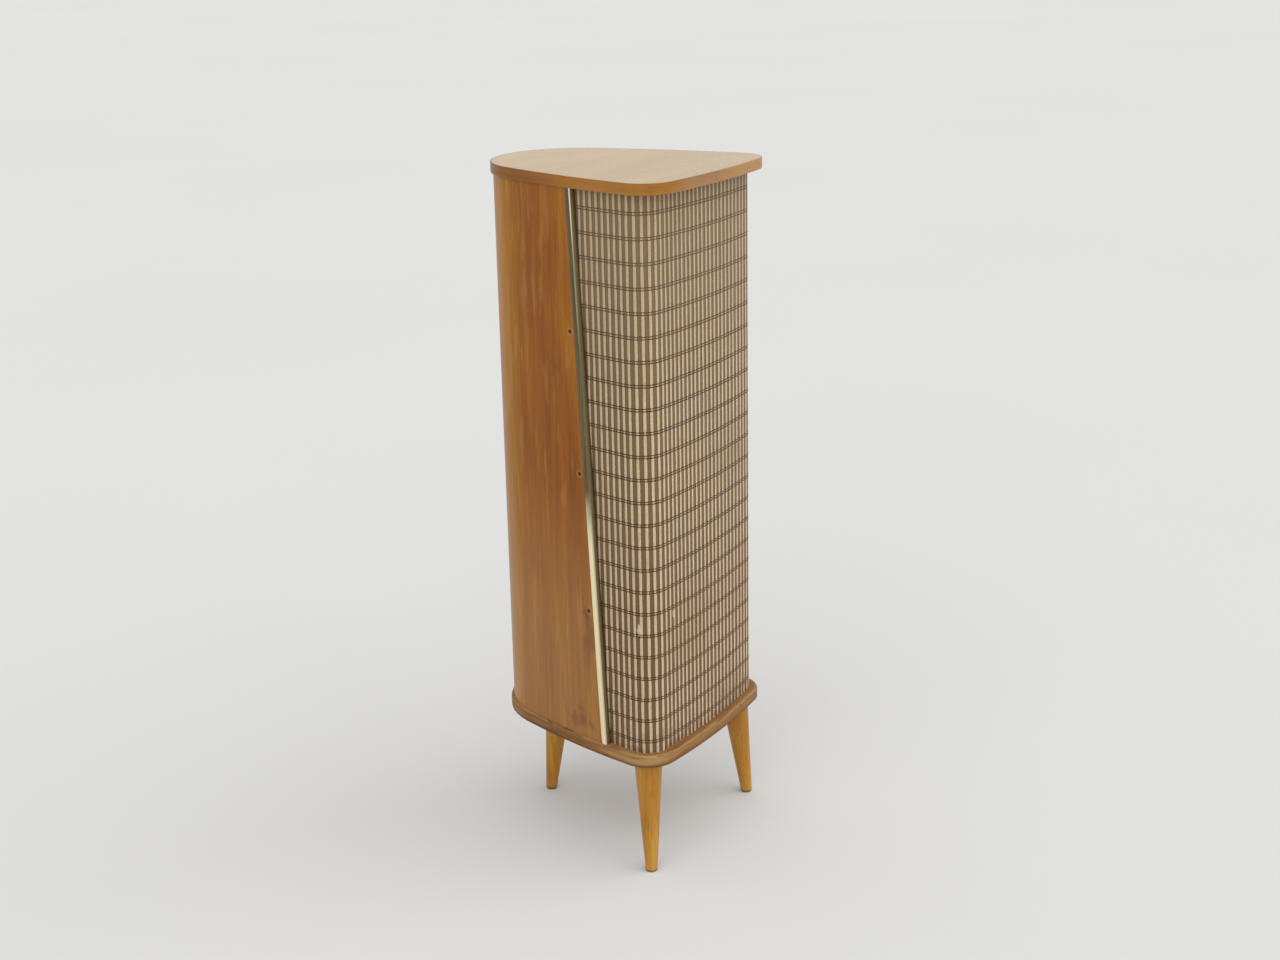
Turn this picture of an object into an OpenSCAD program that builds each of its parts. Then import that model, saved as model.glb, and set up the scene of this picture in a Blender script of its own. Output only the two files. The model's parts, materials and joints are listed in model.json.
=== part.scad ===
// Floor-standing column loudspeaker on three splayed legs.
// Plan: a wide, softly curved front, two rounded front corners and one broad rounded back.
// Frame: X to the listener's right hand side of the cabinet, front towards -Y, Z up, floor at Z = 0.

/* [Cabinet] */
// Height from the floor to the top face
total_h = 808; // [700:1:980]
// Width of the veneered body at the front corners
body_w = 253; // [246:1:310]
// Depth of the veneered body
body_d = 276; // [240:1:335]
// Radius of the two front corners
corner_r = 33; // [30:1:38]
// Radius of the rounded back
back_r = 91; // [80:1:100]
// Radius of the slightly bowed sides
side_r = 980; // [800:10:2000]
// Radius of the slightly bowed front
front_r = 870; // [700:10:2000]

/* [Boards] */
// Thickness of the top plate
top_t = 13; // [10:0.5:18]
// Overhang of the top plate past the sides and back
top_over = 3; // [1:0.5:8]
// How much further the top plate runs out at the front
top_nose = 8; // [0:0.5:14]
// Thickness of the base plate
base_t = 14; // [11:0.5:18]
// Overhang of the base plate past the wooden sides
base_over = 3.5; // [1:0.5:6]
// Thickness of the bent side shell
shell_t = 6; // [4:0.5:7]
// Thickness of the bent front panel behind the cloth
panel_t = 5; // [3:0.5:6]
// Thickness of the grille cloth
cloth_t = 1.5; // [1:0.1:2]
// Thickness of the two inner former boards
former_t = 12; // [10:0.5:16]
// Thickness of the flat baffle board
baffle_t = 10; // [8:0.5:13]
// Distance of the baffle's front face behind the front of the body
baffle_set = 24; // [23:0.5:28]

/* [Slanted edge and trims] */
// Distance of the shell's edge behind the front, at the top
edge_top = 121; // [110:1:135]
// Distance of the shell's edge behind the front, at the bottom
edge_bottom = 87; // [80:1:100]
// Width of the metal trim strip
trim_w = 9; // [6:0.5:12]
// Height of the trim's rounded face above the veneer
trim_rise = 1.2; // [0.4:0.1:2]
// How far the cloth and front panel are tucked behind the shell
tuck = 15; // [12:1:20]
// Distance of the shell nails behind the edge
nail_set = 6; // [5:0.5:8]
// Distance of the lowest shell nail up the edge
nail_low = 161; // [80:1:200]
// Spacing of the shell nails up the edge
nail_pitch = 163; // [120:1:180]
// Radius of the shell nails
nail_r = 1.3; // [0.8:0.1:1.5]

/* [Legs] */
// Height of the base plate's underside above the floor
leg_h = 136; // [110:1:165]
// Diameter of a leg at the top
leg_top_d = 33; // [26:1:38]
// Diameter of a leg at the foot
leg_foot_d = 14; // [12:0.5:18]
// Angle of a leg from the vertical
leg_splay = 7; // [4:0.5:12]
// Direction in which the front feet lean out, from straight sideways towards the front
front_lean = 37; // [0:1:60]
// Distance of a front leg's top from the side of the body
front_leg_side = 25; // [23:1:45]
// Distance of a front leg's top behind the front of the body
front_leg_front = 34; // [30:1:45]
// Distance of the back leg's top ahead of the back of the body
back_leg_set = 47; // [40:1:60]
// Thread diameter of the hanger bolt in each leg
leg_bolt_d = 8; // [6:1:10]

/* [Woofer] */
// Radius of the woofer's mounting flange
woofer_flange_r = 91; // [84:0.5:92]
// Radius of the sound hole in the baffle for the woofer
woofer_hole_r = 80; // [74:0.5:81]
// Radius of the woofer's paper cone
woofer_cone_r = 69; // [60:0.5:70]
// Radius of the woofer's voice coil former
woofer_coil_r = 13; // [11:0.5:15]
// Depth of the woofer's spider shelf behind the flange
woofer_shelf = 40; // [36:1:46]
// Radius of the woofer's magnet yoke
woofer_yoke_r = 30; // [26:1:33]
// Length of the woofer's magnet yoke
woofer_yoke_l = 32; // [28:1:38]
// Distance of the woofer's centre below the tweeter's centre
woofer_drop = 160; // [152:1:190]

/* [Tweeter] */
// Radius of the tweeter's mounting flange
tweeter_flange_r = 50; // [46:0.5:54]
// Radius of the sound hole in the baffle for the tweeter
tweeter_hole_r = 42; // [38:0.5:43]
// Radius of the tweeter's paper cone
tweeter_cone_r = 35; // [30:0.5:36]
// Radius of the tweeter's voice coil former
tweeter_coil_r = 7.5; // [6.5:0.5:9]
// Depth of the tweeter's spider shelf behind the flange
tweeter_shelf = 20; // [18:1:24]
// Radius of the tweeter's magnet yoke
tweeter_yoke_r = 19; // [17:0.5:22]
// Length of the tweeter's magnet yoke
tweeter_yoke_l = 20; // [18:1:26]
// Distance of the tweeter's centre below the baffle's upper edge
tweeter_drop = 70; // [62:1:90]

/* [Input sockets] */
// Radius of the bore that takes a 4 mm plug
socket_bore_r = 2.05; // [1.95:0.05:2.6]
// Depth of the plug bore
socket_bore_l = 14; // [10:1:15]
// Distance between the two sockets
socket_pitch = 19; // [18:1:24]
// Distance of the sockets ahead of the back of the body
socket_set = 88; // [80:1:96]

/* [Hidden] */

$fn = 48;
gap = 0.3;
snug = 0.05;
touch = 0.05;
eps = 0.01;
far = 500;
wood_color = "#9a5f28";
veneer_color = "#a86a2e";
ply_color = "#c9a772";
leg_color = "#b9812f";
steel_color = "#8f9396";
brass_color = "#c9a75a";

// Plan of the cabinet, with the middle of the boards' overall depth at Y = 0
reach_front = max(top_over + top_nose, base_over);
reach_back = max(top_over, base_over);
body_cy = (reach_front - reach_back) / 2;
front_y = body_cy - body_d / 2;
back_y = body_cy + body_d / 2;
body_z0 = leg_h + base_t;
body_z1 = total_h - top_t;
body_h = body_z1 - body_z0;
corner_x = body_w / 2 - corner_r;
back_cy = back_y - back_r;
corner_steps = 11;
side_steps = 5;
back_steps = 10;
front_steps = 8;

// Depths below the veneered face
cloth_off = -shell_t - gap;
panel_off = cloth_off - cloth_t;
lining_off = panel_off - panel_t;

function front_c(fwd) = front_y - fwd + front_r;
function corner_c(fwd) =
    [corner_x, front_c(fwd) - sqrt(pow(front_r - corner_r, 2) - pow(corner_x, 2))];

// Centre of the right side's arc, which touches the corner's and the back's circles from outside
function side_c(fwd) =
    let (a = corner_c(fwd), b = [0, back_cy], d = norm(b - a), u = (b - a) / d)
    let (k = (pow(side_r - corner_r, 2) - pow(side_r - back_r, 2) + d * d) / (2 * d))
    let (h = sqrt(pow(side_r - corner_r, 2) - k * k))
    a + k * u + h * [-u.y, u.x];

function bearing(from, to) = atan2(to.y - from.y, to.x - from.x);
function arc(c, r, a0, a1, n, first = 0) =
    [for (i = [first:n]) let (a = a0 + (a1 - a0) * i / n) c + r * [cos(a), sin(a)]];

// Right half from the front corner to the middle of the back, anticlockwise
function half_plan(off, fwd) =
    let (c = corner_c(fwd), s = side_c(fwd), f = [0, front_c(fwd)])
    let (a0 = bearing(f, c), a1 = bearing(s, c), a2 = bearing(s, [0, back_cy]))
    concat(arc(c, corner_r + off, a0, a1, corner_steps),
        arc(s, side_r + off, a1, a2, side_steps, 1),
        arc([0, back_cy], back_r + off, a2, 90, back_steps, 1));

// Closed outline: off moves it outwards everywhere, fwd moves only the front forwards
function plan(off, fwd = 0) =
    let (right = half_plan(off, fwd), n = len(right))
    let (f = [0, front_c(fwd)], a0 = bearing(f, corner_c(fwd)))
    concat(right, [for (i = [n - 2:-1:0]) [-right[i].x, right[i].y]],
        [for (i = [1:front_steps - 1]) let (a = -180 - a0 + (2 * a0 + 180) * i / front_steps)
            f + (front_r + off) * [cos(a), sin(a)]]);

module wall(off_out, off_in, z0, z1) {
    translate([0, 0, z0]) linear_extrude(z1 - z0) difference() {
        polygon(plan(off_out));
        polygon(plan(off_in));
    }
}

// A board whose edge follows a profile: levels are pairs of overhang and height
module profiled_board(levels, fwd) {
    n = len(plan(0));
    last = len(levels) - 1;
    points = [for (l = levels) each [for (p = plan(l[0], fwd)) [p.x, p.y, l[1]]]];
    sides = [for (k = [0:last - 1]) each [for (i = [0:n - 1]) let (j = (i + 1) % n)
        [k * n + i, (k + 1) * n + i, (k + 1) * n + j, k * n + j]]];
    polyhedron(points, concat([[for (i = [0:n - 1]) i]],
        [[for (i = [n - 1:-1:0]) last * n + i]], sides));
}

// The slanted edge of the shell on the right side
edge_low_y = front_y + edge_bottom;
edge_high_y = front_y + edge_top;
function side_x(y) = let (s = side_c(0)) s.x + sqrt(pow(side_r, 2) - pow(y - s.y, 2));
edge_low = [side_x(edge_low_y), edge_low_y];
edge_high = [side_x(edge_high_y), edge_high_y];
edge_turn = bearing(edge_low, edge_high) - 90;
edge_slant = atan(norm(edge_high - edge_low) / body_h);
edge_l = body_h / cos(edge_slant);
run_out = 20;
function edge_y(z) = edge_low_y + (edge_high_y - edge_low_y) * (z - body_z0) / body_h;

// Frame on the edge: X out of the side, Y backwards along the side, Z up the edge
module on_edge(side) {
    mirror([side < 0 ? 1 : 0, 0, 0])
        translate([edge_low.x, edge_low.y, body_z0])
            rotate([0, 0, edge_turn])
                rotate([-edge_slant, 0, 0])
                    children();
}

// Everything ahead of a line that runs parallel to the edge, back by some distance
module ahead_of_edge(behind) {
    z_low = body_z0 - far;
    z_high = body_z1 + far;
    translate([-far, 0, 0]) rotate([90, 0, 90]) linear_extrude(2 * far)
        polygon([[-far, z_low], [edge_y(z_low) + behind, z_low],
            [edge_y(z_high) + behind, z_high], [-far, z_high]]);
}

module slab(z0, z1) {
    translate([-far, -far, z0]) cube([2 * far, 2 * far, z1 - z0]);
}

// Screws: shank, head, pilot hole in wood and clearance hole in what is held
screw_r = 1.75;
screw_head_r = 3.5;
screw_head_h = 2;
pilot_r = screw_r + snug;
clear_r = screw_r + gap;
screw_fn = 24;
sunk_h = 2.4;
sunk_r = 3.9;
screw_count = 4;
screw_start = 45;

// Baffle and drivers
baffle_y = front_y + baffle_set;
baffle_back = baffle_y + baffle_t;
baffle_z0 = body_z0 + former_t;
baffle_z1 = body_z1 - former_t;
function lining_x(y) = corner_x
    + sqrt(pow(corner_r + lining_off, 2) - pow(y - corner_c(0).y, 2));
batten_w = 10;
batten_d = 20;
// The baffle ends just inside the front panel, and the heads of its screws stay clear of it too
end_clear = 1;
head_clear = 0.2;
baffle_half = lining_x(baffle_y) - end_clear;
batten_x = min(baffle_half - batten_w / 2,
    lining_x(baffle_y - screw_head_h) - screw_head_r - head_clear);
tweeter_z = baffle_z1 - tweeter_drop;
woofer_z = tweeter_z - woofer_drop;
gasket_t = 2.5;
driver_y = baffle_back + gasket_t;
sheet_t = 1.2;
paper_t = 0.8;
coil_gap = 0.4;
former_wall = 0.25;
board_t = 1.6;
tag_t = 0.6;
tag_x = 4.5;
winding_t = 0.4;
wave = 0.9;
pleat_t = 0.5;
screw_short = 2;
driver_screw_l = sheet_t + gasket_t + baffle_t - screw_short;

// Shapes that both drivers share, some of them as shares of the coil's radius
shelf_wider = 2.3;
dome_wider = 1.35;
dome_seat = 2.4;
tail_wider = 2.05;
pole_share = 0.45;
cone_curve = 1.25;
window_half = 31;
rim_step = 3;

// Driver values: flange, hole, cone, coil, shelf, yoke radius, yoke length, plate, overhang, ribs
WOOFER = [woofer_flange_r, woofer_hole_r, woofer_cone_r, woofer_coil_r, woofer_shelf,
    woofer_yoke_r, woofer_yoke_l, 5, 7, 4];
TWEETER = [tweeter_flange_r, tweeter_hole_r, tweeter_cone_r, tweeter_coil_r, tweeter_shelf,
    tweeter_yoke_r, tweeter_yoke_l, 3, 4, 3];
function flange_r(d) = d[0];
function hole_r(d) = d[1];
function cone_r(d) = d[2];
function coil_r(d) = d[3];
function shelf_s(d) = d[4];
function yoke_r(d) = d[5];
function yoke_l(d) = d[6];
function plate_t(d) = d[7];
function coil_l(d) = d[8];
function roll_count(d) = d[9];
function frame_r(d) = hole_r(d) - 1;
function shelf_r(d) = coil_r(d) * shelf_wider;
function cup_s(d) = shelf_s(d) + coil_l(d) + 4;
function plate_s(d) = cup_s(d) + sheet_t;
function plate_hole_r(d) = coil_r(d) + winding_t + coil_gap;
function pole_r(d) = coil_r(d) - former_wall - coil_gap;
function rim_s(d) = 4;
function neck_s(d) = shelf_s(d) - 6;
function yoke_floor_s(d) = plate_s(d) + yoke_l(d) - plate_t(d);
function pole_end_s(d) = plate_s(d) + (yoke_l(d) - plate_t(d)) * pole_share;
function screw_ring(d) = (flange_r(d) + frame_r(d)) / 2;
function wall_slope(d) =
    (frame_r(d) - 2 - shelf_r(d) - 6) / (shelf_s(d) - rim_s(d) - rim_step);
function window_r(d) = shelf_r(d) + 6 + 4 * wall_slope(d);
function neck_r(d) = coil_r(d) + 0.5;
function cone_s(d, r) = rim_s(d) + (neck_s(d) - rim_s(d))
    * pow(1 - (r - neck_r(d)) / (cone_r(d) - neck_r(d)), cone_curve);
function tag_s(d) = shelf_s(d) + sheet_t + board_t;

// Sheet of even thickness along a path of radius and depth
function unit(v) = v / norm(v);
function left_of(v) = [-v.y, v.x];
function path_normal(p, i) =
    let (last = len(p) - 1)
    let (a = left_of(unit(p[max(i, 1)] - p[max(i, 1) - 1])))
    let (b = left_of(unit(p[min(i, last - 1) + 1] - p[min(i, last - 1)])))
    let (m = unit(a + b))
    m / (m * a);
function sheet(p, t) =
    concat(p, [for (i = [len(p) - 1:-1:0]) p[i] + t * path_normal(p, i)]);

// Frame of a driver: X right, Y down the baffle, Z back into the cabinet, from the flange's face
module driver_at(z) {
    translate([0, driver_y, z]) rotate([-90, 0, 0]) children();
}

module ring_of(count, radius, start) {
    for (i = [0:count - 1])
        rotate([0, 0, start + 360 * i / count]) translate([radius, 0, 0]) children();
}

module basket(d) {
    color("#6f7478") difference() {
        rotate_extrude() polygon(sheet([[flange_r(d), 0], [frame_r(d), 0],
            [frame_r(d) - 2, rim_s(d) + rim_step], [shelf_r(d) + 6, shelf_s(d)],
            [shelf_r(d), shelf_s(d)], [shelf_r(d), cup_s(d)],
            [plate_hole_r(d) + 2, cup_s(d)]], -sheet_t));
        translate([0, 0, -eps]) ring_of(screw_count, screw_ring(d), screw_start)
            cylinder(h = sheet_t + 1, r = clear_r, $fn = screw_fn);
        for (i = [0:3]) rotate([0, 0, 90 * i])
            translate([0, 0, rim_s(d) + 6]) linear_extrude(shelf_s(d) - rim_s(d) - 10)
                polygon(window_outline(shelf_r(d) + 9, frame_r(d) - 5, window_half));
    }
}

function window_outline(r0, r1, half) =
    concat([for (i = [0:4]) let (a = -half + half * i / 2) r1 * [cos(a), sin(a)]],
        [for (i = [4:-1:0]) let (a = -half + half * i / 2) r0 * [cos(a), sin(a)]]);

module gasket(d) {
    color("#3b342c") difference() {
        translate([0, 0, -gasket_t]) cylinder(h = gasket_t, r = flange_r(d), $fn = 64);
        translate([0, 0, -gasket_t - 1])
            cylinder(h = gasket_t + 2, r = frame_r(d) + 1.5, $fn = 64);
        translate([0, 0, -gasket_t - 1]) ring_of(screw_count, screw_ring(d), screw_start)
            cylinder(h = gasket_t + 2, r = clear_r, $fn = screw_fn);
    }
}

module front_plate(d) {
    color(steel_color) translate([0, 0, plate_s(d)]) difference() {
        cylinder(h = plate_t(d), r = yoke_r(d));
        translate([0, 0, -1]) cylinder(h = plate_t(d) + 2, r = plate_hole_r(d));
    }
}

module yoke(d) {
    color("#a9adb0") difference() {
        translate([0, 0, plate_s(d) + plate_t(d)]) rotate_extrude()
            polygon([[0, 0], [yoke_r(d), 0], [yoke_r(d), yoke_l(d) - 2],
                [yoke_r(d) - 2, yoke_l(d)], [0, yoke_l(d)]]);
        translate([0, 0, plate_s(d) + plate_t(d) - 1])
            cylinder(h = yoke_floor_s(d) - plate_s(d) - plate_t(d) + 1, r = yoke_r(d) - 4);
    }
}

module magnet(d) {
    color("#55585b") translate([0, 0, pole_end_s(d)])
        cylinder(h = yoke_floor_s(d) - pole_end_s(d), r = pole_r(d) - 1);
}

module pole_piece(d) {
    color(steel_color) translate([0, 0, plate_s(d)]) rotate_extrude()
        polygon([[0, 0], [pole_r(d) - 0.5, 0], [pole_r(d), 0.5], [pole_r(d), plate_t(d) + 1],
            [pole_r(d) - 1, plate_t(d) + 2], [pole_r(d) - 1, pole_end_s(d) - plate_s(d)],
            [0, pole_end_s(d) - plate_s(d)]]);
}

function cone_path(d) = [for (i = [0:6])
    let (r = neck_r(d) + (cone_r(d) - neck_r(d)) * i / 6) [r, cone_s(d, r)]];

module cone(d) {
    color("#4a4038") rotate_extrude($fn = 64) polygon(sheet(cone_path(d), -paper_t));
}

module dust_cap(d) {
    r = coil_r(d) * dome_wider;
    seat = coil_r(d) + dome_seat;
    seat_s = cone_s(d, seat) - paper_t - gap;
    lift = sqrt(r * r - seat * seat);
    half = asin(seat / r);
    outer = [for (i = [0:5]) let (a = half * i / 5) [r * sin(a), seat_s + lift - r * cos(a)]];
    inner = [for (i = [5:-1:0]) let (a = half * i / 5)
        [(r - paper_t) * sin(a), seat_s + lift - (r - paper_t) * cos(a)]];
    color("#35302b") rotate_extrude() polygon(concat(outer, inner));
}

module voice_coil(d) {
    tail = plate_s(d) + (plate_t(d) + coil_l(d)) / 2;
    color("#b5652c") rotate_extrude() polygon([
        [coil_r(d) - former_wall, neck_s(d) - 1.5], [coil_r(d), neck_s(d) - 1.5],
        [coil_r(d), tail - coil_l(d)], [coil_r(d) + winding_t, tail - coil_l(d)],
        [coil_r(d) + winding_t, tail], [coil_r(d) - former_wall, tail]]);
}

// The corrugated spider is glued on the shelf, the pleated surround on the front of the flange
module spider(d) {
    r0 = coil_r(d) + touch;
    r1 = shelf_r(d) + 4;
    flat_from = (shelf_r(d) - 1 - r0) / (r1 - r0);
    color("#a98a4f") rotate_extrude() polygon(sheet([for (i = [0:16]) let (t = i / 16)
        [r0 + (r1 - r0) * t,
            shelf_s(d) - touch + (t < flat_from ? wave * sin(1080 * t / flat_from) : 0)]],
        -pleat_t));
}

module surround(d) {
    r0 = cone_r(d) + touch;
    r1 = frame_r(d) + 1.4;
    flat_from = (frame_r(d) - 1 - r0) / (r1 - r0);
    drop = rim_s(d) - paper_t / 2;
    color("#2c2926") rotate_extrude($fn = 64) polygon(sheet([for (i = [0:14])
        let (t = i / 14, u = min(1, t / flat_from))
        [r0 + (r1 - r0) * t,
            drop * (1 - u) - touch + wave * sin(roll_count(d) * 180 * u) * sin(180 * u)]],
        -pleat_t));
}

// Tag board on the back of the spider shelf, with its two tags pointing down the baffle
module tag_strip(d) {
    inner = shelf_r(d) + sheet_t + gap;
    outer = window_r(d);
    color("#6b3f22") translate([0, 0, shelf_s(d) + sheet_t]) {
        translate([-9, inner, 0]) cube([18, outer - inner, board_t]);
        for (s = [-1, 1]) translate([s * tag_x - 1.5, inner + 2, board_t])
            cube([3, outer - inner + 5, tag_t]);
    }
}

// Flexible tails from the back of the cone, out through the basket's lower window to the tags
tail_r = 0.6;
module tail_wires(d) {
    r0 = coil_r(d) * tail_wider;
    w = window_r(d);
    s0 = cone_s(d, r0);
    land = tag_s(d) + tail_r + touch;
    color("#b08d57") for (side = [-1, 1]) lead([
        [side * 4.5, r0, s0 + tail_r + 0.4],
        [side * 6, (r0 + w) / 2, s0 + 0.3 * (shelf_s(d) - s0)],
        [side * 8.5, w + 3.5, shelf_s(d) - 4.5],
        [side * 9, w + 6, shelf_s(d) + 0.5],
        [side * 8.5, w + 4, land + 1],
        [side * 7.6, w + 1, land + 0.3],
        [side * (tag_x + 1.5 + tail_r + touch), w - 2, land]], tail_r);
}

// Pan head screw: the head stands on Z = 0 and the shank runs down
module pan_screw(length) {
    cylinder(h = screw_head_h, r = screw_head_r, $fn = screw_fn);
    translate([0, 0, -length]) cylinder(h = length + eps, r = screw_r, $fn = screw_fn);
}

// Route with its corners rounded off: reach is how far before a corner the bend starts
bend_steps = 4;
function rounded(p, reach) =
    let (last = len(p) - 1)
    concat([p[0]], [for (i = [1:last - 1]) let (a = p[i - 1] - p[i], b = p[i + 1] - p[i])
        let (u = a * min(0.45, reach / norm(a)), v = b * min(0.45, reach / norm(b)))
        each [for (k = [0:bend_steps]) let (t = k / bend_steps)
            p[i] + u * pow(1 - t, 2) + v * t * t]], [p[last]]);

// Round lead swept along its own points, its sides carried along without a twist
lead_sides = 8;
function lead_dir(p, i) =
    unit(p[min(i + 1, len(p) - 1)] - p[max(i - 1, 0)]);
function across(v, a) = unit(a - v * (a * v));
function carried(p, i, a) =
    let (s = across(lead_dir(p, i), a))
    i == len(p) - 1 ? [s] : concat([s], carried(p, i + 1, s));
module lead(p, r) {
    n = len(p);
    first = lead_dir(p, 0);
    sides = carried(p, 0, abs(first.x) > 0.8 ? [0, 1, 0] : [1, 0, 0]);
    points = [for (i = [0:n - 1]) let (a = sides[i], b = cross(lead_dir(p, i), a))
        each [for (k = [0:lead_sides - 1]) let (w = 360 * k / lead_sides)
            p[i] + r * (cos(w) * a + sin(w) * b)]];
    faces = [for (i = [0:n - 2]) each [for (k = [0:lead_sides - 1])
        let (m = (k + 1) % lead_sides)
        [i * lead_sides + k, (i + 1) * lead_sides + k, (i + 1) * lead_sides + m,
            i * lead_sides + m]]];
    polyhedron(points, concat([[for (k = [0:lead_sides - 1]) k]],
        [[for (k = [lead_sides - 1:-1:0]) (n - 1) * lead_sides + k]], faces));
}

// Cabinet boards
module top_plate() {
    soft = 1.5;
    crisp = 0.6;
    color(wood_color) difference() {
        profiled_board(concat(
            [for (a = [0:30:90]) [top_over - soft + soft * sin(a), body_z1 + soft - soft * cos(a)]],
            [[top_over, total_h - crisp], [top_over - crisp, total_h]]), top_nose);
        at_board_screws() translate([0, 0, body_z1 - eps])
            cylinder(h = screw_bite + 1, r = pilot_r, $fn = screw_fn);
    }
}

// Places of the screws that hold the boards to the formers, and how deep they go in
screw_bite = 9;
screw_front_x = 45;
screw_front_set = 60;
screw_back_x = 60;
screw_back_set = 82;
module at_board_screws() {
    for (s = [-1, 1]) {
        translate([s * screw_front_x, front_y + screw_front_set, 0]) children();
        translate([s * screw_back_x, back_y - screw_back_set, 0]) children();
    }
}

module base_plate() {
    nose = min(base_over, base_t / 2);
    color(wood_color) difference() {
        profiled_board(concat([[base_over - 1, leg_h], [base_over, leg_h + 1]],
            [for (a = [0:18:90]) [base_over - nose + nose * cos(a), body_z0 - nose + nose * sin(a)]]),
            0);
        at_board_screws() {
            translate([0, 0, leg_h - 1]) cylinder(h = base_t + 2, r = clear_r, $fn = screw_fn);
            translate([0, 0, leg_h - eps]) cylinder(h = sunk_h + 0.2, r1 = sunk_r + 0.2, r2 = clear_r);
        }
        for (i = [0:2]) at_leg(i) insert_bore();
        socket_slot();
        at_input_screws() translate([0, 0, -eps])
            cylinder(h = input_screw_l + 1, r = input_screw_r + snug, $fn = screw_fn);
    }
}

module side_shell() {
    color(veneer_color) difference() {
        wall(0, -shell_t, body_z0, body_z1);
        for (side = [-1, 1]) on_edge(side)
            translate([-body_w, -far, -far]) cube([body_w + far, far, 4 * far]);
        nail_bores();
    }
}

nail_l = 22;
nail_sunk = 0.4;
nail_fn = 16;
// Frame of a nail: it starts half a shell outside the veneer and points inwards
module at_nails(side) {
    on_edge(side) for (i = [0:2])
        translate([0, nail_set, nail_low + nail_pitch * i]) rotate([0, -90, 0])
            translate([0, 0, -shell_t / 2]) children();
}

module shell_nails() {
    color("#4b4036") for (side = [-1, 1]) at_nails(side)
        translate([0, 0, shell_t / 2 + nail_sunk]) cylinder(h = nail_l, r = nail_r, $fn = nail_fn);
}

panel_hole_wider = 3;
module front_panel() {
    color(ply_color) difference() {
        wall(panel_off, lining_off, body_z0, body_z1);
        difference() {
            slab(body_z0 - 1, body_z1 + 1);
            ahead_of_edge(tuck);
        }
        translate([0, baffle_y, woofer_z]) rotate([90, 0, 0])
            cylinder(h = far, r = woofer_hole_r + panel_hole_wider);
        translate([0, baffle_y, tweeter_z]) rotate([90, 0, 0])
            cylinder(h = far, r = tweeter_hole_r + panel_hole_wider);
        nail_bores();
    }
}

module grille_cloth() {
    color("#bfa782") difference() {
        wall(cloth_off, panel_off, body_z0, body_z1);
        difference() {
            slab(body_z0 - 1, body_z1 + 1);
            ahead_of_edge(tuck);
        }
        nail_bores();
    }
}

module nail_bores() {
    for (side = [-1, 1]) at_nails(side)
        cylinder(h = nail_l + shell_t, r = nail_r + snug, $fn = nail_fn);
}

// The trim fills the step between the shell's edge and the cloth and shows a rounded face
module trim(side) {
    bow_r = (pow(trim_w / 2, 2) + pow(trim_rise, 2)) / (2 * trim_rise);
    half = asin(trim_w / 2 / bow_r);
    face = [for (i = [0:8]) let (a = -half + half * i / 4)
        [trim_rise - bow_r + bow_r * cos(a), -trim_w / 2 + bow_r * sin(a)]];
    color(brass_color) intersection() {
        slab(body_z0, body_z1);
        on_edge(side) translate([0, 0, -run_out]) linear_extrude(edge_l + 2 * run_out)
            polygon(concat([[-shell_t, 0]], [[-shell_t, -trim_w]], face));
    }
}

module left_trim() { trim(-1); }
module right_trim() { trim(1); }

// Inner boards that the shell and the front panel are glued round
module former(z0) {
    translate([0, 0, z0]) linear_extrude(former_t) {
        polygon(plan(lining_off - gap));
        intersection() {
            polygon(plan(-shell_t - gap));
            translate([-far, edge_y(z0 + former_t) + tuck + gap]) square([2 * far, far]);
        }
    }
}

module top_former() {
    color(ply_color) difference() {
        former(body_z1 - former_t);
        at_board_screws() translate([0, 0, body_z1 - former_t - 1])
            cylinder(h = former_t + 2, r = clear_r, $fn = screw_fn);
    }
}

module bottom_former() {
    color(ply_color) difference() {
        former(body_z0);
        at_board_screws() translate([0, 0, body_z0 - 1])
            cylinder(h = screw_bite + 1, r = pilot_r, $fn = screw_fn);
        for (i = [0:2]) at_leg(i) insert_bore();
        socket_slot();
    }
}

// Slanted battens that take the shell nails
edge_batten_t = 14;
edge_batten_w = 20;
edge_batten_fore = 8;
// The panel is bowed and the batten straight, so the middle of the batten has a wider gap
batten_gap = 0.8;
module edge_battens() {
    color(ply_color) for (side = [-1, 1]) difference() {
        intersection() {
            slab(baffle_z0, baffle_z1);
            on_edge(side)
                translate([lining_off - batten_gap - edge_batten_t, -edge_batten_fore, -run_out])
                    cube([edge_batten_t, edge_batten_w, edge_l + 2 * run_out]);
        }
        nail_bores();
    }
}

module baffle_board() {
    color(ply_color) difference() {
        translate([-baffle_half, baffle_y, baffle_z0])
            cube([2 * baffle_half, baffle_t, baffle_z1 - baffle_z0]);
        driver_at(woofer_z) baffle_cuts(WOOFER);
        driver_at(tweeter_z) baffle_cuts(TWEETER);
        at_baffle_screws() translate([0, 0, -baffle_t - 1])
            cylinder(h = baffle_t + 2, r = clear_r, $fn = screw_fn);
        at_clip_screw() translate([0, 0, -baffle_t]) cylinder(h = baffle_t, r = pilot_r, $fn = screw_fn);
    }
}

module baffle_cuts(d) {
    translate([0, 0, -baffle_t - gasket_t - 1]) cylinder(h = baffle_t + 2, r = hole_r(d), $fn = 64);
    ring_of(screw_count, screw_ring(d), screw_start) translate([0, 0, sheet_t - driver_screw_l - gap])
        cylinder(h = baffle_t + 1, r = pilot_r, $fn = screw_fn);
}

// Frame of each baffle screw: Z forwards from the baffle's front face
baffle_screw_n = 4;
baffle_screw_end = 30;
baffle_screw_l = baffle_t + batten_d - 6;
module at_baffle_screws() {
    run = baffle_z1 - baffle_z0 - 2 * baffle_screw_end;
    for (s = [-1, 1]) for (i = [0:baffle_screw_n - 1])
        translate([s * batten_x, baffle_y,
            baffle_z0 + baffle_screw_end + run * i / (baffle_screw_n - 1)])
            rotate([90, 0, 0]) children();
}

module baffle_screws() {
    color(steel_color) at_baffle_screws() pan_screw(baffle_screw_l);
}

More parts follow.
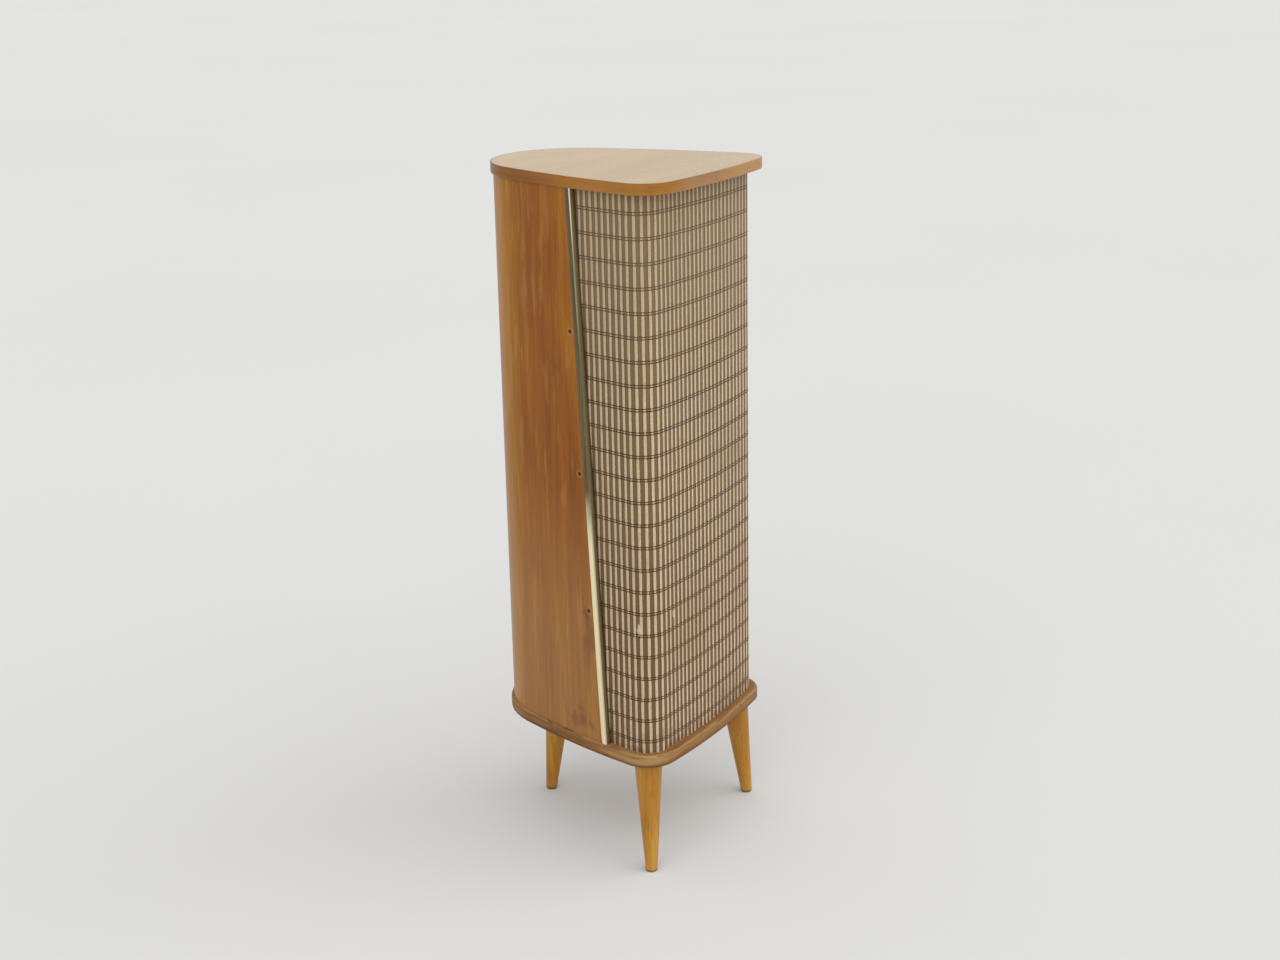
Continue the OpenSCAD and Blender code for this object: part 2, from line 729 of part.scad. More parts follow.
module baffle_battens() {
    color(ply_color) difference() {
        for (s = [-1, 1])
            translate([s * batten_x - batten_w / 2, baffle_back, baffle_z0])
                cube([batten_w, batten_d, baffle_z1 - baffle_z0]);
        at_baffle_screws() translate([0, 0, -baffle_screw_l - 1])
            cylinder(h = baffle_screw_l, r = pilot_r, $fn = screw_fn);
    }
}

module top_screws() {
    color(steel_color) at_board_screws() translate([0, 0, body_z1 - former_t])
        rotate([180, 0, 0]) pan_screw(former_t + screw_bite);
}

module base_screws() {
    color(steel_color) at_board_screws() translate([0, 0, leg_h]) {
        cylinder(h = sunk_h, r1 = sunk_r, r2 = screw_r);
        translate([0, 0, sunk_h - 0.1])
            cylinder(h = base_t - sunk_h + screw_bite, r = screw_r, $fn = screw_fn);
    }
}

// Legs: top point on the base's underside and the direction in which the foot leans out
leg_tops = [[-(body_w / 2 - front_leg_side), front_y + front_leg_front],
    [body_w / 2 - front_leg_side, front_y + front_leg_front],
    [0, back_y - back_leg_set]];
leg_leans = [180 + front_lean, -front_lean, 90];
insert_r = 6;
insert_l = 20;
insert_fn = 32;
bolt_in_leg = 38;
foot_round = 2.5;
// An insert is sunk until its tilted lower end is wholly above the base's underside
insert_sunk = insert_r * tan(leg_splay) + 0.2;

// Frame of a leg: Z up its own axis, from the base's underside
module at_leg(i) {
    translate([leg_tops[i].x, leg_tops[i].y, leg_h])
        rotate([0, 0, leg_leans[i]]) rotate([0, -leg_splay, 0]) children();
}

module insert_bore() {
    translate([0, 0, -5]) cylinder(h = insert_l + 6, r = insert_r + snug, $fn = insert_fn);
}

module leg(i) {
    axis_l = leg_h / cos(leg_splay) + 1;
    tip = foot_round;
    top_r = leg_top_d / 2;
    foot_r = leg_foot_d / 2;
    color(leg_color) intersection() {
        at_leg(i) difference() {
            rotate_extrude() polygon(concat([[0, 10], [top_r, 10], [top_r, -4]],
                [for (a = [0:15:90]) [foot_r - tip + tip * cos(a), -axis_l + tip - tip * sin(a)]],
                [[0, -axis_l]]));
            translate([0, 0, -bolt_in_leg]) cylinder(h = bolt_in_leg + 20, r = leg_bolt_d / 2 + snug);
        }
        slab(0, leg_h);
    }
}

module front_left_leg() { leg(0); }
module front_right_leg() { leg(1); }
module back_leg() { leg(2); }

module leg_bolts() {
    color(steel_color) for (i = [0:2]) at_leg(i) translate([0, 0, -bolt_in_leg + 0.5])
        cylinder(h = bolt_in_leg + insert_l - 3, r = leg_bolt_d / 2);
}

module leg_inserts() {
    color(brass_color) for (i = [0:2]) at_leg(i) difference() {
        translate([0, 0, insert_sunk]) cylinder(h = insert_l - insert_sunk, r = insert_r);
        translate([0, 0, -1]) cylinder(h = insert_l + 2, r = leg_bolt_d / 2 + snug);
    }
}

// Input sockets on the underside
socket_y = back_y - socket_set;
plate_w = 52;
plate_d = 24;
input_t = 3;
flange_t = 2;
input_screw_x = 21;
input_screw_r = 1.45;
input_screw_l = 8;
socket_body_r = 4;
slot_side = 8.5;
slot_d = 16;
pin_r = 1.2;
module socket_slot() {
    slot_w = socket_pitch + 2 * slot_side;
    translate([-slot_w / 2, socket_y - slot_d / 2, leg_h - 1])
        cube([slot_w, slot_d, base_t + former_t + 2]);
}

module at_input_screws() {
    for (s = [-1, 1]) translate([s * input_screw_x, socket_y, leg_h]) children();
}

module at_socket(side) {
    translate([side * socket_pitch / 2, socket_y, leg_h - input_t]) children();
}

module input_plate() {
    round_r = 4;
    color("#2b2a28") difference() {
        translate([0, socket_y, leg_h - input_t]) linear_extrude(input_t) {
            square([plate_w, plate_d - 2 * round_r], center = true);
            square([plate_w - 2 * round_r, plate_d], center = true);
            for (x = [-1, 1]) for (y = [-1, 1])
                translate([x * (plate_w / 2 - round_r), y * (plate_d / 2 - round_r)]) circle(round_r);
        }
        at_input_screws() translate([0, 0, -input_t - 1])
            cylinder(h = input_t + 2, r = input_screw_r + gap, $fn = screw_fn);
        for (s = [-1, 1]) at_socket(s) translate([0, 0, -1])
            cylinder(h = input_t + 2, r = socket_body_r + snug);
    }
}

module input_plate_screws() {
    color(steel_color) at_input_screws() {
        translate([0, 0, -input_t - 1.6]) cylinder(h = 1.6, r = 2 * input_screw_r, $fn = screw_fn);
        translate([0, 0, -input_t - eps])
            cylinder(h = input_t + input_screw_l, r = input_screw_r, $fn = screw_fn);
    }
}

pin_top = leg_h + base_t + former_t + 6;
module socket(side) {
    at_socket(side) difference() {
        rotate_extrude() polygon([[0, socket_bore_l + 1], [0, -flange_t], [5, -flange_t],
            [6, -flange_t + 1], [6, 0], [socket_body_r, 0], [socket_body_r, socket_bore_l + 2],
            [pin_r, socket_bore_l + 2], [pin_r, pin_top - leg_h + input_t],
            [0, pin_top - leg_h + input_t]]);
        translate([0, 0, -flange_t - 1]) cylinder(h = socket_bore_l + 1, r = socket_bore_r);
    }
}

module red_socket() { color("#a32a22") socket(1); }
module black_socket() { color("#1f1f20") socket(-1); }

module socket_nuts() {
    color(brass_color) for (s = [-1, 1]) at_socket(s) translate([0, 0, input_t]) difference() {
        cylinder(h = 3, r = 6.3, $fn = 6);
        translate([0, 0, -1]) cylinder(h = 5, r = socket_body_r + snug);
    }
}

// Leads, clipped to the baffle and to its battens on the way from pins to tags
lead_r = 1.1;
lead_off = lead_r + touch;
clip_lift = lead_r + 0.6;
clip_crown = 1;
lead_x = 4;
board_lead_y = baffle_back + clip_lift;
side_lead = [batten_x - 2, baffle_back + batten_d + clip_lift];
cap_x = 60;
cap_z = woofer_z - woofer_flange_r - 32;
cap_r = 9;
cap_l = 34;
cap_wire_l = 10;
clip_t = 0.8;
cap_y = baffle_back + clip_t + cap_r + 0.75;
cap_reach = cap_l / 2 + cap_wire_l + touch;

// Point beside a tag: down is how far along the tag, off is the distance from its back face
function tag_point(d, z, side, down, off) =
    [side * tag_x, driver_y + tag_s(d) + tag_t + off, z - window_r(d) - down];
woofer_tag = tag_point(WOOFER, woofer_z, 1, 2, lead_off);
tweeter_tag = tag_point(TWEETER, tweeter_z, 1, 2, lead_off);
tag_front = tag_point(WOOFER, woofer_z, 1, 4.2, -tag_t - lead_off);
tag_front_left = tag_point(WOOFER, woofer_z, -1, 4.2, -tag_t - lead_off);
board_clip_low = body_z0 + 70;
board_clip_high = woofer_tag.z - 130;
side_clip_low = woofer_tag.z + 20;
side_clip_high = tweeter_tag.z - 83;

function flip(p) = [for (q = p) [-q.x, q.y, q.z]];

module input_lead() {
    pin = [socket_pitch / 2, socket_y, pin_top + touch];
    route = rounded([pin, pin + [0, 0, 8], [lead_x, board_lead_y + 12, pin.z - 2],
        [lead_x, board_lead_y, pin.z + 10], [lead_x, board_lead_y, board_clip_high + 30],
        [tag_x, woofer_tag.y, woofer_tag.z - 30], woofer_tag], 14);
    color("#5a3a2a") {
        lead(route, lead_r);
        mirror([1, 0, 0]) lead(route, lead_r);
    }
}

// Up a batten from a low point beside it, then across to the tweeter's tag
function riser(low) = [low, [side_lead.x, side_lead.y, tweeter_tag.z - 28],
    [tag_x, tweeter_tag.y, tweeter_tag.z - 22], tweeter_tag];

// Link from the woofer to the capacitor, lead from there to the tweeter, and the return lead
module tweeter_lead() {
    wire_in = [cap_x - cap_reach, cap_y, cap_z];
    wire_out = [cap_x + cap_reach, cap_y, cap_z];
    color("#7a4a34") {
        lead(rounded([tag_front, tag_front + [3.5, -4, -12], wire_in + [-10, 0, 20],
            wire_in - [8, 0, 0], wire_in], 10), lead_r);
        lead(rounded(concat([wire_out, wire_out + [4, 0, 0],
            [wire_out.x + 5, side_lead.y + 1.5, cap_z + 16]],
            riser([side_lead.x, side_lead.y, cap_z + 50])), 14), lead_r);
        lead(rounded(concat([tag_front_left, tag_front_left + [-5.5, -6, -16],
            [30 - side_lead.x, side_lead.y + 3.5, woofer_tag.z - 48]],
            flip(riser([side_lead.x, side_lead.y, woofer_tag.z - 3]))), 14), lead_r);
    }
}

// Staple on a face that looks backwards, bridging leads whose middles lie half apart
module staple(half) {
    inner = half + lead_r + gap;
    rise = clip_lift + lead_r + touch;
    translate([0, 0, -0.6]) {
        for (s = [-1, 1]) translate([s * (inner + clip_crown / 2) - clip_crown / 2, 0, 0])
            cube([clip_crown, rise + clip_crown, 1.2]);
        translate([-inner, rise, 0]) cube([2 * inner, clip_crown, 1.2]);
    }
}

module lead_clips() {
    color(steel_color) {
        for (z = [board_clip_low, (board_clip_low + board_clip_high) / 2, board_clip_high])
            translate([0, baffle_back, z]) staple(lead_x);
        for (s = [-1, 1]) for (z = [side_clip_low, side_clip_high])
            translate([s * side_lead.x, baffle_back + batten_d, z]) staple(0);
    }
}

module at_capacitor() {
    translate([cap_x, cap_y, cap_z]) rotate([0, 90, 0]) children();
}

module crossover_capacitor() {
    color("#c9b98a") at_capacitor() rotate_extrude() polygon([
        [0, -cap_l / 2 - cap_wire_l], [0.5, -cap_l / 2 - cap_wire_l], [0.5, -cap_l / 2],
        [cap_r - 1, -cap_l / 2], [cap_r, -cap_l / 2 + 1], [cap_r, cap_l / 2 - 1],
        [cap_r - 1, cap_l / 2], [0.5, cap_l / 2], [0.5, cap_l / 2 + cap_wire_l],
        [0, cap_l / 2 + cap_wire_l]]);
}

clip_w = 10;
clip_foot = 14;
module at_clip_screw() {
    translate([cap_x, baffle_back + clip_t, cap_z - cap_r - clip_foot / 2 - 1])
        rotate([-90, 0, 0]) children();
}

module capacitor_clip() {
    color(steel_color) difference() {
        union() {
            at_capacitor() cylinder(h = clip_w, r = cap_r + 0.1 + clip_t, center = true);
            translate([cap_x - clip_w / 2, baffle_back, cap_z - cap_r - clip_foot])
                cube([clip_w, clip_t, cap_r + clip_foot]);
        }
        at_capacitor() cylinder(h = clip_w + 2, r = cap_r + 0.1, center = true);
        at_clip_screw() cylinder(h = 4, r = clear_r, center = true, $fn = screw_fn);
    }
}

felt_t = 14;
felt_end = 40;
felt_reach = 95;
module damping_felt() {
    color("#8d8a84") intersection() {
        wall(-shell_t - gap, -shell_t - gap - felt_t, baffle_z0 + felt_end, baffle_z1 - felt_end);
        translate([-far, back_y - felt_reach, 0]) cube([2 * far, far, 2 * far]);
    }
}

module at_driver_screws(d, z) {
    driver_at(z) translate([0, 0, sheet_t])
        ring_of(screw_count, screw_ring(d), screw_start) children();
}

module driver_screws() {
    color(steel_color) {
        at_driver_screws(WOOFER, woofer_z) pan_screw(driver_screw_l);
        at_driver_screws(TWEETER, tweeter_z) pan_screw(driver_screw_l);
        at_clip_screw() pan_screw(baffle_t - screw_short);
    }
}

module woofer_basket() { driver_at(woofer_z) basket(WOOFER); }
module woofer_gasket() { driver_at(woofer_z) gasket(WOOFER); }
module woofer_front_plate() { driver_at(woofer_z) front_plate(WOOFER); }
module woofer_magnet() { driver_at(woofer_z) magnet(WOOFER); }
module woofer_pole_piece() { driver_at(woofer_z) pole_piece(WOOFER); }
module woofer_yoke() { driver_at(woofer_z) yoke(WOOFER); }
module woofer_cone() { driver_at(woofer_z) cone(WOOFER); }
module woofer_dust_cap() { driver_at(woofer_z) dust_cap(WOOFER); }
module woofer_voice_coil() { driver_at(woofer_z) voice_coil(WOOFER); }
module woofer_spider() { driver_at(woofer_z) spider(WOOFER); }
module woofer_surround() { driver_at(woofer_z) surround(WOOFER); }
module woofer_tag_strip() { driver_at(woofer_z) tag_strip(WOOFER); }
module woofer_tail_wires() { driver_at(woofer_z) tail_wires(WOOFER); }
module tweeter_basket() { driver_at(tweeter_z) basket(TWEETER); }
module tweeter_gasket() { driver_at(tweeter_z) gasket(TWEETER); }
module tweeter_front_plate() { driver_at(tweeter_z) front_plate(TWEETER); }
module tweeter_magnet() { driver_at(tweeter_z) magnet(TWEETER); }
module tweeter_pole_piece() { driver_at(tweeter_z) pole_piece(TWEETER); }
module tweeter_yoke() { driver_at(tweeter_z) yoke(TWEETER); }
module tweeter_cone() { driver_at(tweeter_z) cone(TWEETER); }
module tweeter_dust_cap() { driver_at(tweeter_z) dust_cap(TWEETER); }
module tweeter_voice_coil() { driver_at(tweeter_z) voice_coil(TWEETER); }
module tweeter_spider() { driver_at(tweeter_z) spider(TWEETER); }
module tweeter_surround() { driver_at(tweeter_z) surround(TWEETER); }
module tweeter_tag_strip() { driver_at(tweeter_z) tag_strip(TWEETER); }
module tweeter_tail_wires() { driver_at(tweeter_z) tail_wires(TWEETER); }

top_plate();
base_plate();
side_shell();
front_panel();
grille_cloth();
left_trim();
right_trim();
shell_nails();
top_former();
bottom_former();
edge_battens();
baffle_board();
baffle_battens();
baffle_screws();
top_screws();
base_screws();
front_left_leg();
front_right_leg();
back_leg();
leg_bolts();
leg_inserts();
input_plate();
input_plate_screws();
red_socket();
black_socket();
socket_nuts();
input_lead();
lead_clips();
crossover_capacitor();
capacitor_clip();
tweeter_lead();
damping_felt();
woofer_basket();
woofer_gasket();
woofer_front_plate();
woofer_magnet();
woofer_pole_piece();
woofer_yoke();
woofer_cone();
woofer_dust_cap();
woofer_voice_coil();
woofer_spider();
woofer_surround();
woofer_tag_strip();
woofer_tail_wires();
tweeter_basket();
tweeter_gasket();
tweeter_front_plate();
tweeter_magnet();
tweeter_pole_piece();
tweeter_yoke();
tweeter_cone();
tweeter_dust_cap();
tweeter_voice_coil();
tweeter_spider();
tweeter_surround();
tweeter_tag_strip();
tweeter_tail_wires();
driver_screws();
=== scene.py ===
import json
import math
import random

import bmesh
import bpy
import numpy as np
from mathutils import Matrix, Vector


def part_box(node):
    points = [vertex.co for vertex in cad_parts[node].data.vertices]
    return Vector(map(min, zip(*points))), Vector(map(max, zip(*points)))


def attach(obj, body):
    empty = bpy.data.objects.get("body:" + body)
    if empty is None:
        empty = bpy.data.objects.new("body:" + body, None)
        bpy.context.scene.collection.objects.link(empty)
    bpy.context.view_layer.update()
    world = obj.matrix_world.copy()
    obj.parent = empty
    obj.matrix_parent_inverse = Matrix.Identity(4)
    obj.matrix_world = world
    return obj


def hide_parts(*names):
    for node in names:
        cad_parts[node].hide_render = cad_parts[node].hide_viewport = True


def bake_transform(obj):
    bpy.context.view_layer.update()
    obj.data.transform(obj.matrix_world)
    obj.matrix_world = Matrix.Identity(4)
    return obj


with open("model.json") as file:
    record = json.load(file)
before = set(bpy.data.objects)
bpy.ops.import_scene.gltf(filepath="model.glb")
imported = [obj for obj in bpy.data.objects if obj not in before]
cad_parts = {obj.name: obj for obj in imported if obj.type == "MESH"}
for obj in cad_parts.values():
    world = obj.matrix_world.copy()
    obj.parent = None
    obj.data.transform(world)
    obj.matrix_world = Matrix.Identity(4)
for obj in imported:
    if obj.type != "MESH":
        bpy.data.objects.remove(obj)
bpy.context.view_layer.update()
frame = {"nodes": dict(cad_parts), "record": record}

MM = 0.001
CABINET = "cabinet"

# Sizes in mm, as in the CAD source
BODY_W, BODY_D = 253.0, 276.0
CORNER_R, BACK_R, SIDE_R, FRONT_R = 33.0, 91.0, 980.0, 870.0
# Overhang of the two boards, and how much further the top reaches at the front
TOP_OVER, BASE_OVER, TOP_NOSE = 3.0, 3.5, 8.0
# Heights of the top's upper face and of the shell's two ends
Z_TOP, Z_HIGH, Z_LOW = 808.0, 795.0, 150.0
SHELL_T, GAP = 6.0, 0.3
# How far the shell's slanted edge lies behind the front, at its top and at its bottom
EDGE_TOP, EDGE_BOTTOM = 121.0, 87.0
TRIM_W, TRIM_RISE = 9.0, 1.2
# How far the cloth runs on behind the shell's edge
CLOTH_TUCK = 13.0
# Nails: distance behind the edge, radius of the hole, and distances up the edge
NAIL_SET, NAIL_HOLE_R = 6.0, 1.35
NAIL_LOW, NAIL_PITCH, NAIL_COUNT = 161.0, 163.0, 3
NAIL_UP = [NAIL_LOW + NAIL_PITCH * i for i in range(NAIL_COUNT)]

REACH_FRONT = max(TOP_OVER + TOP_NOSE, BASE_OVER)
BODY_CY = (REACH_FRONT - max(TOP_OVER, BASE_OVER)) / 2
FRONT_Y, BACK_Y = BODY_CY - BODY_D / 2, BODY_CY + BODY_D / 2
CORNER_X, BACK_CY = BODY_W / 2 - CORNER_R, BACK_Y - BACK_R
# Steps that the arcs of the front, the corner, the side and the back are drawn in
ARC_STEPS = (24, 20, 12, 30)


def mirrored(v):
    return np.array([-v[0], v[1]])


class Plan:
    """Outline of the cabinet: arcs of the front, the right corner, the right side and the back."""

    def __init__(self, nose=0.0):
        self.front = np.array([0.0, FRONT_Y - nose + FRONT_R])
        self.back = np.array([0.0, BACK_CY])
        rise = math.sqrt((FRONT_R - CORNER_R) ** 2 - CORNER_X ** 2)
        self.corner = np.array([CORNER_X, self.front[1] - rise])
        # The side's arc touches the corner's and the back's, which gives its centre
        to_corner, to_back = SIDE_R - CORNER_R, SIDE_R - BACK_R
        gap = self.back - self.corner
        apart = float(np.linalg.norm(gap))
        along = (to_corner ** 2 - to_back ** 2 + apart * apart) / (2 * apart)
        beside = math.sqrt(to_corner ** 2 - along * along)
        towards = gap / apart
        self.side = self.corner + along * towards + beside * np.array([-towards[1], towards[0]])
        # Bearings at which the arcs of the front, the corner and the side end
        self.front_end = self.bearing(self.front, self.corner)
        self.corner_end = self.bearing(self.side, self.corner)
        self.side_end = self.bearing(self.side, self.back)

    @staticmethod
    def bearing(a, b):
        return math.atan2(b[1] - a[1], b[0] - a[0])

    def half(self):
        """Right half from the middle of the front to the middle of the back: points and normals."""
        arcs = ((self.front, FRONT_R, -math.pi / 2, self.front_end),
                (self.corner, CORNER_R, self.front_end, self.corner_end),
                (self.side, SIDE_R, self.corner_end, self.side_end),
                (self.back, BACK_R, self.side_end, math.pi / 2))
        points = []
        for (centre, radius, start, end), steps in zip(arcs, ARC_STEPS):
            for i in range(1 if points else 0, steps + 1):
                a = start + (end - start) * i / steps
                normal = np.array([math.cos(a), math.sin(a)])
                points.append((centre + radius * normal, normal))
        return points

    def closed(self):
        """The whole outline, round from the middle of the front."""
        half = self.half()
        return half + [(mirrored(p), mirrored(normal)) for p, normal in half[-2:0:-1]]


BODY = Plan()
BOARD = Plan(TOP_NOSE)
# Arc length over the right half of the back
OVER_BACK = BACK_R * (math.pi / 2 - BODY.side_end)


def round_back(s):
    """Point on the veneer line and outward normal at arc length s from the middle of the back."""
    v = abs(s)
    if v <= OVER_BACK:
        centre, radius, a = BODY.back, BACK_R, math.pi / 2 - v / BACK_R
    else:
        centre, radius, a = BODY.side, SIDE_R, BODY.side_end - (v - OVER_BACK) / SIDE_R
    normal = np.array([math.cos(a), math.sin(a)])
    point = centre + radius * normal
    return (point, normal) if s >= 0 else (mirrored(point), mirrored(normal))


def back_reach(y, radius):
    """Arc length from the middle of the back to where the side, drawn with a radius, is at y."""
    return SIDE_R * (BODY.side_end - math.asin((y - BODY.side[1]) / radius)) + OVER_BACK


def edge_y(z):
    """Place of the shell's slanted edge at a height."""
    return FRONT_Y + EDGE_BOTTOM + (EDGE_TOP - EDGE_BOTTOM) * (z - Z_LOW) / (Z_HIGH - Z_LOW)


def side_x(y):
    return BODY.side[0] + math.sqrt(SIDE_R ** 2 - (y - BODY.side[1]) ** 2)


def edge_frame(side):
    """The CAD's frame on the slanted edge: X out of the side, Y backwards along it, Z up the edge (mm)."""
    low = np.array([side_x(edge_y(Z_LOW)), edge_y(Z_LOW)])
    high = np.array([side_x(edge_y(Z_HIGH)), edge_y(Z_HIGH)])
    turn = math.atan2(high[1] - low[1], high[0] - low[0]) - math.pi / 2
    slant = math.atan(float(np.linalg.norm(high - low)) / (Z_HIGH - Z_LOW))
    m = (Matrix.Translation((low[0], low[1], Z_LOW)) @ Matrix.Rotation(turn, 4, "Z")
         @ Matrix.Rotation(-slant, 4, "X"))
    return (Matrix.Scale(-1, 4, (1, 0, 0)) @ m) if side < 0 else m


def shell_heights(rows):
    """Heights of the rows of points between the shell's two ends."""
    return [Z_LOW + (Z_HIGH - Z_LOW) * r / rows for r in range(rows + 1)]


# Mesh helpers
def add_object(name, data):
    obj = bpy.data.objects.new(name, data)
    bpy.context.scene.collection.objects.link(obj)
    return obj


def make_object(name, verts, faces, uvs=None, smooth=None):
    """verts in mm; uvs one per vertex in metres; smooth is the sharp-edge angle in degrees."""
    mesh = bpy.data.meshes.new(name)
    mesh.from_pydata([[c * MM for c in v] for v in verts], [], [list(f) for f in faces])
    mesh.validate()
    finish_mesh(mesh, uvs, smooth)
    return add_object(name, mesh)


def finish_mesh(mesh, uvs=None, smooth=None):
    """Gives a mesh its flat coordinates, one per vertex, and smooth faces with sharp edges."""
    if uvs is not None:
        layer = mesh.uv_layers.new(name="flat")
        idx = np.empty(len(mesh.loops), dtype=np.int64)
        mesh.loops.foreach_get("vertex_index", idx)
        layer.data.foreach_set("uv", np.asarray(uvs, dtype=np.float64)[idx].ravel())
    if smooth is not None:
        mesh.polygons.foreach_set("use_smooth", [True] * len(mesh.polygons))
        mesh.set_sharp_from_angle(angle=math.radians(smooth))
    mesh.update()


def mesh_of(bm, name):
    """Mesh of a bmesh, which is freed."""
    mesh = bpy.data.meshes.new(name)
    bm.to_mesh(mesh)
    bm.free()
    return mesh


def settle(obj, materials, slot, *nodes, body=CABINET):
    """The piece takes its materials, rides on its body and stands for its CAD nodes; slot is not used."""
    polys = obj.data.polygons
    index = [0] * len(polys)
    polys.foreach_get("material_index", index)
    obj.data.materials.clear()
    for material in materials:
        obj.data.materials.append(material)
    polys.foreach_set("material_index", index)
    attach(obj, body)
    if nodes:
        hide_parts(*nodes)
    return obj


def grid_faces(rows, cols, start=0, flip=False, wrap=False):
    """Faces between rows of points; wrap joins the last column to the first."""
    faces = []
    for r in range(rows - 1):
        for c in range(cols if wrap else cols - 1):
            a = start + r * cols + c
            b = start + r * cols + (c + 1) % cols
            quad = (a, b, b + cols, a + cols)
            faces.append(quad[::-1] if flip else quad)
    return faces


def slab_faces(rows, cols):
    """Faces of a closed slab, whose outer grid of points comes before its inner one."""
    size = rows * cols
    faces = grid_faces(rows, cols) + grid_faces(rows, cols, size, flip=True)
    for r in range(rows - 1):
        a = r * cols
        faces.append((a, a + cols, size + a + cols, size + a))
        a += cols - 1
        faces.append((size + a, size + a + cols, a + cols, a))
    for c in range(cols - 1):
        faces.append((c + 1, c, size + c, size + c + 1))
        a = size - cols + c
        faces.append((a, a + 1, size + a + 1, size + a))
    return faces


# Distance in m and angle in degrees under which a CAD mesh's points and faces are joined
JOIN_DIST, JOIN_ANGLE = 2e-6, 0.4


def refined(node, name, angle):
    """A copy of a CAD node's mesh with its seams joined and smooth faces."""
    bm = bmesh.new()
    bm.from_mesh(frame["nodes"][node].data)
    bmesh.ops.remove_doubles(bm, verts=bm.verts, dist=JOIN_DIST)
    bmesh.ops.dissolve_limit(bm, angle_limit=math.radians(JOIN_ANGLE), verts=bm.verts, edges=bm.edges)
    mesh = mesh_of(bm, name)
    finish_mesh(mesh, smooth=angle)
    return add_object(name, mesh)


# Node helpers
def srgb(r, g, b):
    def lin(c):
        c /= 255.0
        return c / 12.92 if c <= 0.04045 else ((c + 0.055) / 1.055) ** 2.4
    return (lin(r), lin(g), lin(b), 1.0)


def shade(colour, share):
    return tuple(c * share for c in colour[:3]) + (1.0,)


# Added to a count of ribs or rows, so that its fraction is a half on each of them and never negative
HALF_ON = 100.5


class Graph:
    """Short ways to build a material's nodes."""

    def __init__(self, name, **sockets):
        self.mat = bpy.data.materials.new(name)
        self.mat.use_nodes = True
        self.tree = self.mat.node_tree
        self.shader = self.tree.nodes["Principled BSDF"]
        for key, value in sockets.items():
            self.shader.inputs[key.replace("_", " ")].default_value = value

    def node(self, kind, inputs=None, **props):
        n = self.tree.nodes.new(kind)
        for key, value in props.items():
            setattr(n, key, value)
        for key, value in (inputs or {}).items():
            self.put(n.inputs[key], value)
        return n

    def put(self, socket, value):
        if isinstance(value, bpy.types.NodeSocket):
            self.tree.links.new(value, socket)
        else:
            socket.default_value = value

    def axes(self, kind="Object"):
        """The three coordinates, in metres."""
        out = self.node("ShaderNodeTexCoord").outputs[kind]
        return self.node("ShaderNodeSeparateXYZ", {"Vector": out}).outputs

    def noise(self, scale, detail=4.0, rough=0.55, distort=0.0, kind="Object", turn=(0, 0, 0)):
        """Noise with one scale for all axes, or one for each."""
        out = self.node("ShaderNodeTexCoord").outputs[kind]
        scale = scale if isinstance(scale, tuple) else (scale,) * 3
        place = self.node("ShaderNodeMapping", {"Vector": out, "Scale": scale, "Rotation": turn}).outputs[0]
        return self.node("ShaderNodeTexNoise", {"Vector": place, "Scale": 1.0, "Detail": detail,
                                                "Roughness": rough, "Distortion": distort}).outputs[0]

    def math(self, op, a, b=0.0):
        n = self.node("ShaderNodeMath", operation=op)
        self.put(n.inputs[0], a)
        self.put(n.inputs[1], b)
        return n.outputs[0]

    def plus(self, a, b):
        return self.math("ADD", a, b)

    def minus(self, a, b):
        return self.math("SUBTRACT", a, b)

    def times(self, a, b):
        return self.math("MULTIPLY", a, b)

    def total(self, *parts):
        """Sum of values, each times its share."""
        terms = [self.times(value, share) for value, share in parts]
        result = terms[0]
        for term in terms[1:]:
            result = self.plus(result, term)
        return result

    def apart(self, a, b):
        """Distance between two values."""
        return self.math("ABSOLUTE", self.minus(a, b))

    def from_nearest(self, count):
        """Distance from the nearest whole number."""
        return self.apart(self.math("FRACT", self.plus(count, HALF_ON)), 0.5)

    def shaken(self, value, noise, amount):
        """A value moved up and down by a noise."""
        return self.plus(value, self.times(self.minus(noise, 0.5), amount))

    def ellipse(self, *axes):
        """Squared distance from a centre: each axis gives a value, the centre and the half size."""
        a, b = (self.math("DIVIDE", self.minus(value, centre), half) for value, centre, half in axes)
        return self.plus(self.times(a, a), self.times(b, b))

    def ramp(self, fac, *stops):
        n = self.node("ShaderNodeValToRGB", {"Fac": fac})
        elements = n.color_ramp.elements
        while len(elements) < len(stops):
            elements.new(0.5)
        for element, (position, colour) in zip(elements, stops):
            element.position = position
            element.color = colour
        return n.outputs[0]

    def band(self, value, a, b):
        """Goes smoothly from 0 at a to 1 at b."""
        n = self.node("ShaderNodeMapRange", {"Value": value, "From Min": a, "From Max": b})
        n.interpolation_type = "SMOOTHSTEP"
        return n.outputs[0]

    def mix(self, fac, a, b):
        n = self.node("ShaderNodeMix", data_type="RGBA")
        self.put(n.inputs[0], fac)
        self.put(n.inputs[6], a)
        self.put(n.inputs[7], b)
        return n.outputs[2]

    def tint(self, colour, fac, amount, other):
        """The colour turned towards another one by an amount of a factor."""
        return self.mix(self.times(fac, amount), colour, other)

    def bump(self, height, distance, strength):
        n = self.node("ShaderNodeBump", {"Height": height, "Distance": distance, "Strength": strength})
        return n.outputs[0]

    def out(self, colour=None, rough=None, normal=None):
        for key, value in (("Base Color", colour), ("Roughness", rough), ("Normal", normal)):
            if value is not None:
                self.put(self.shader.inputs[key], value)
        return self.mat


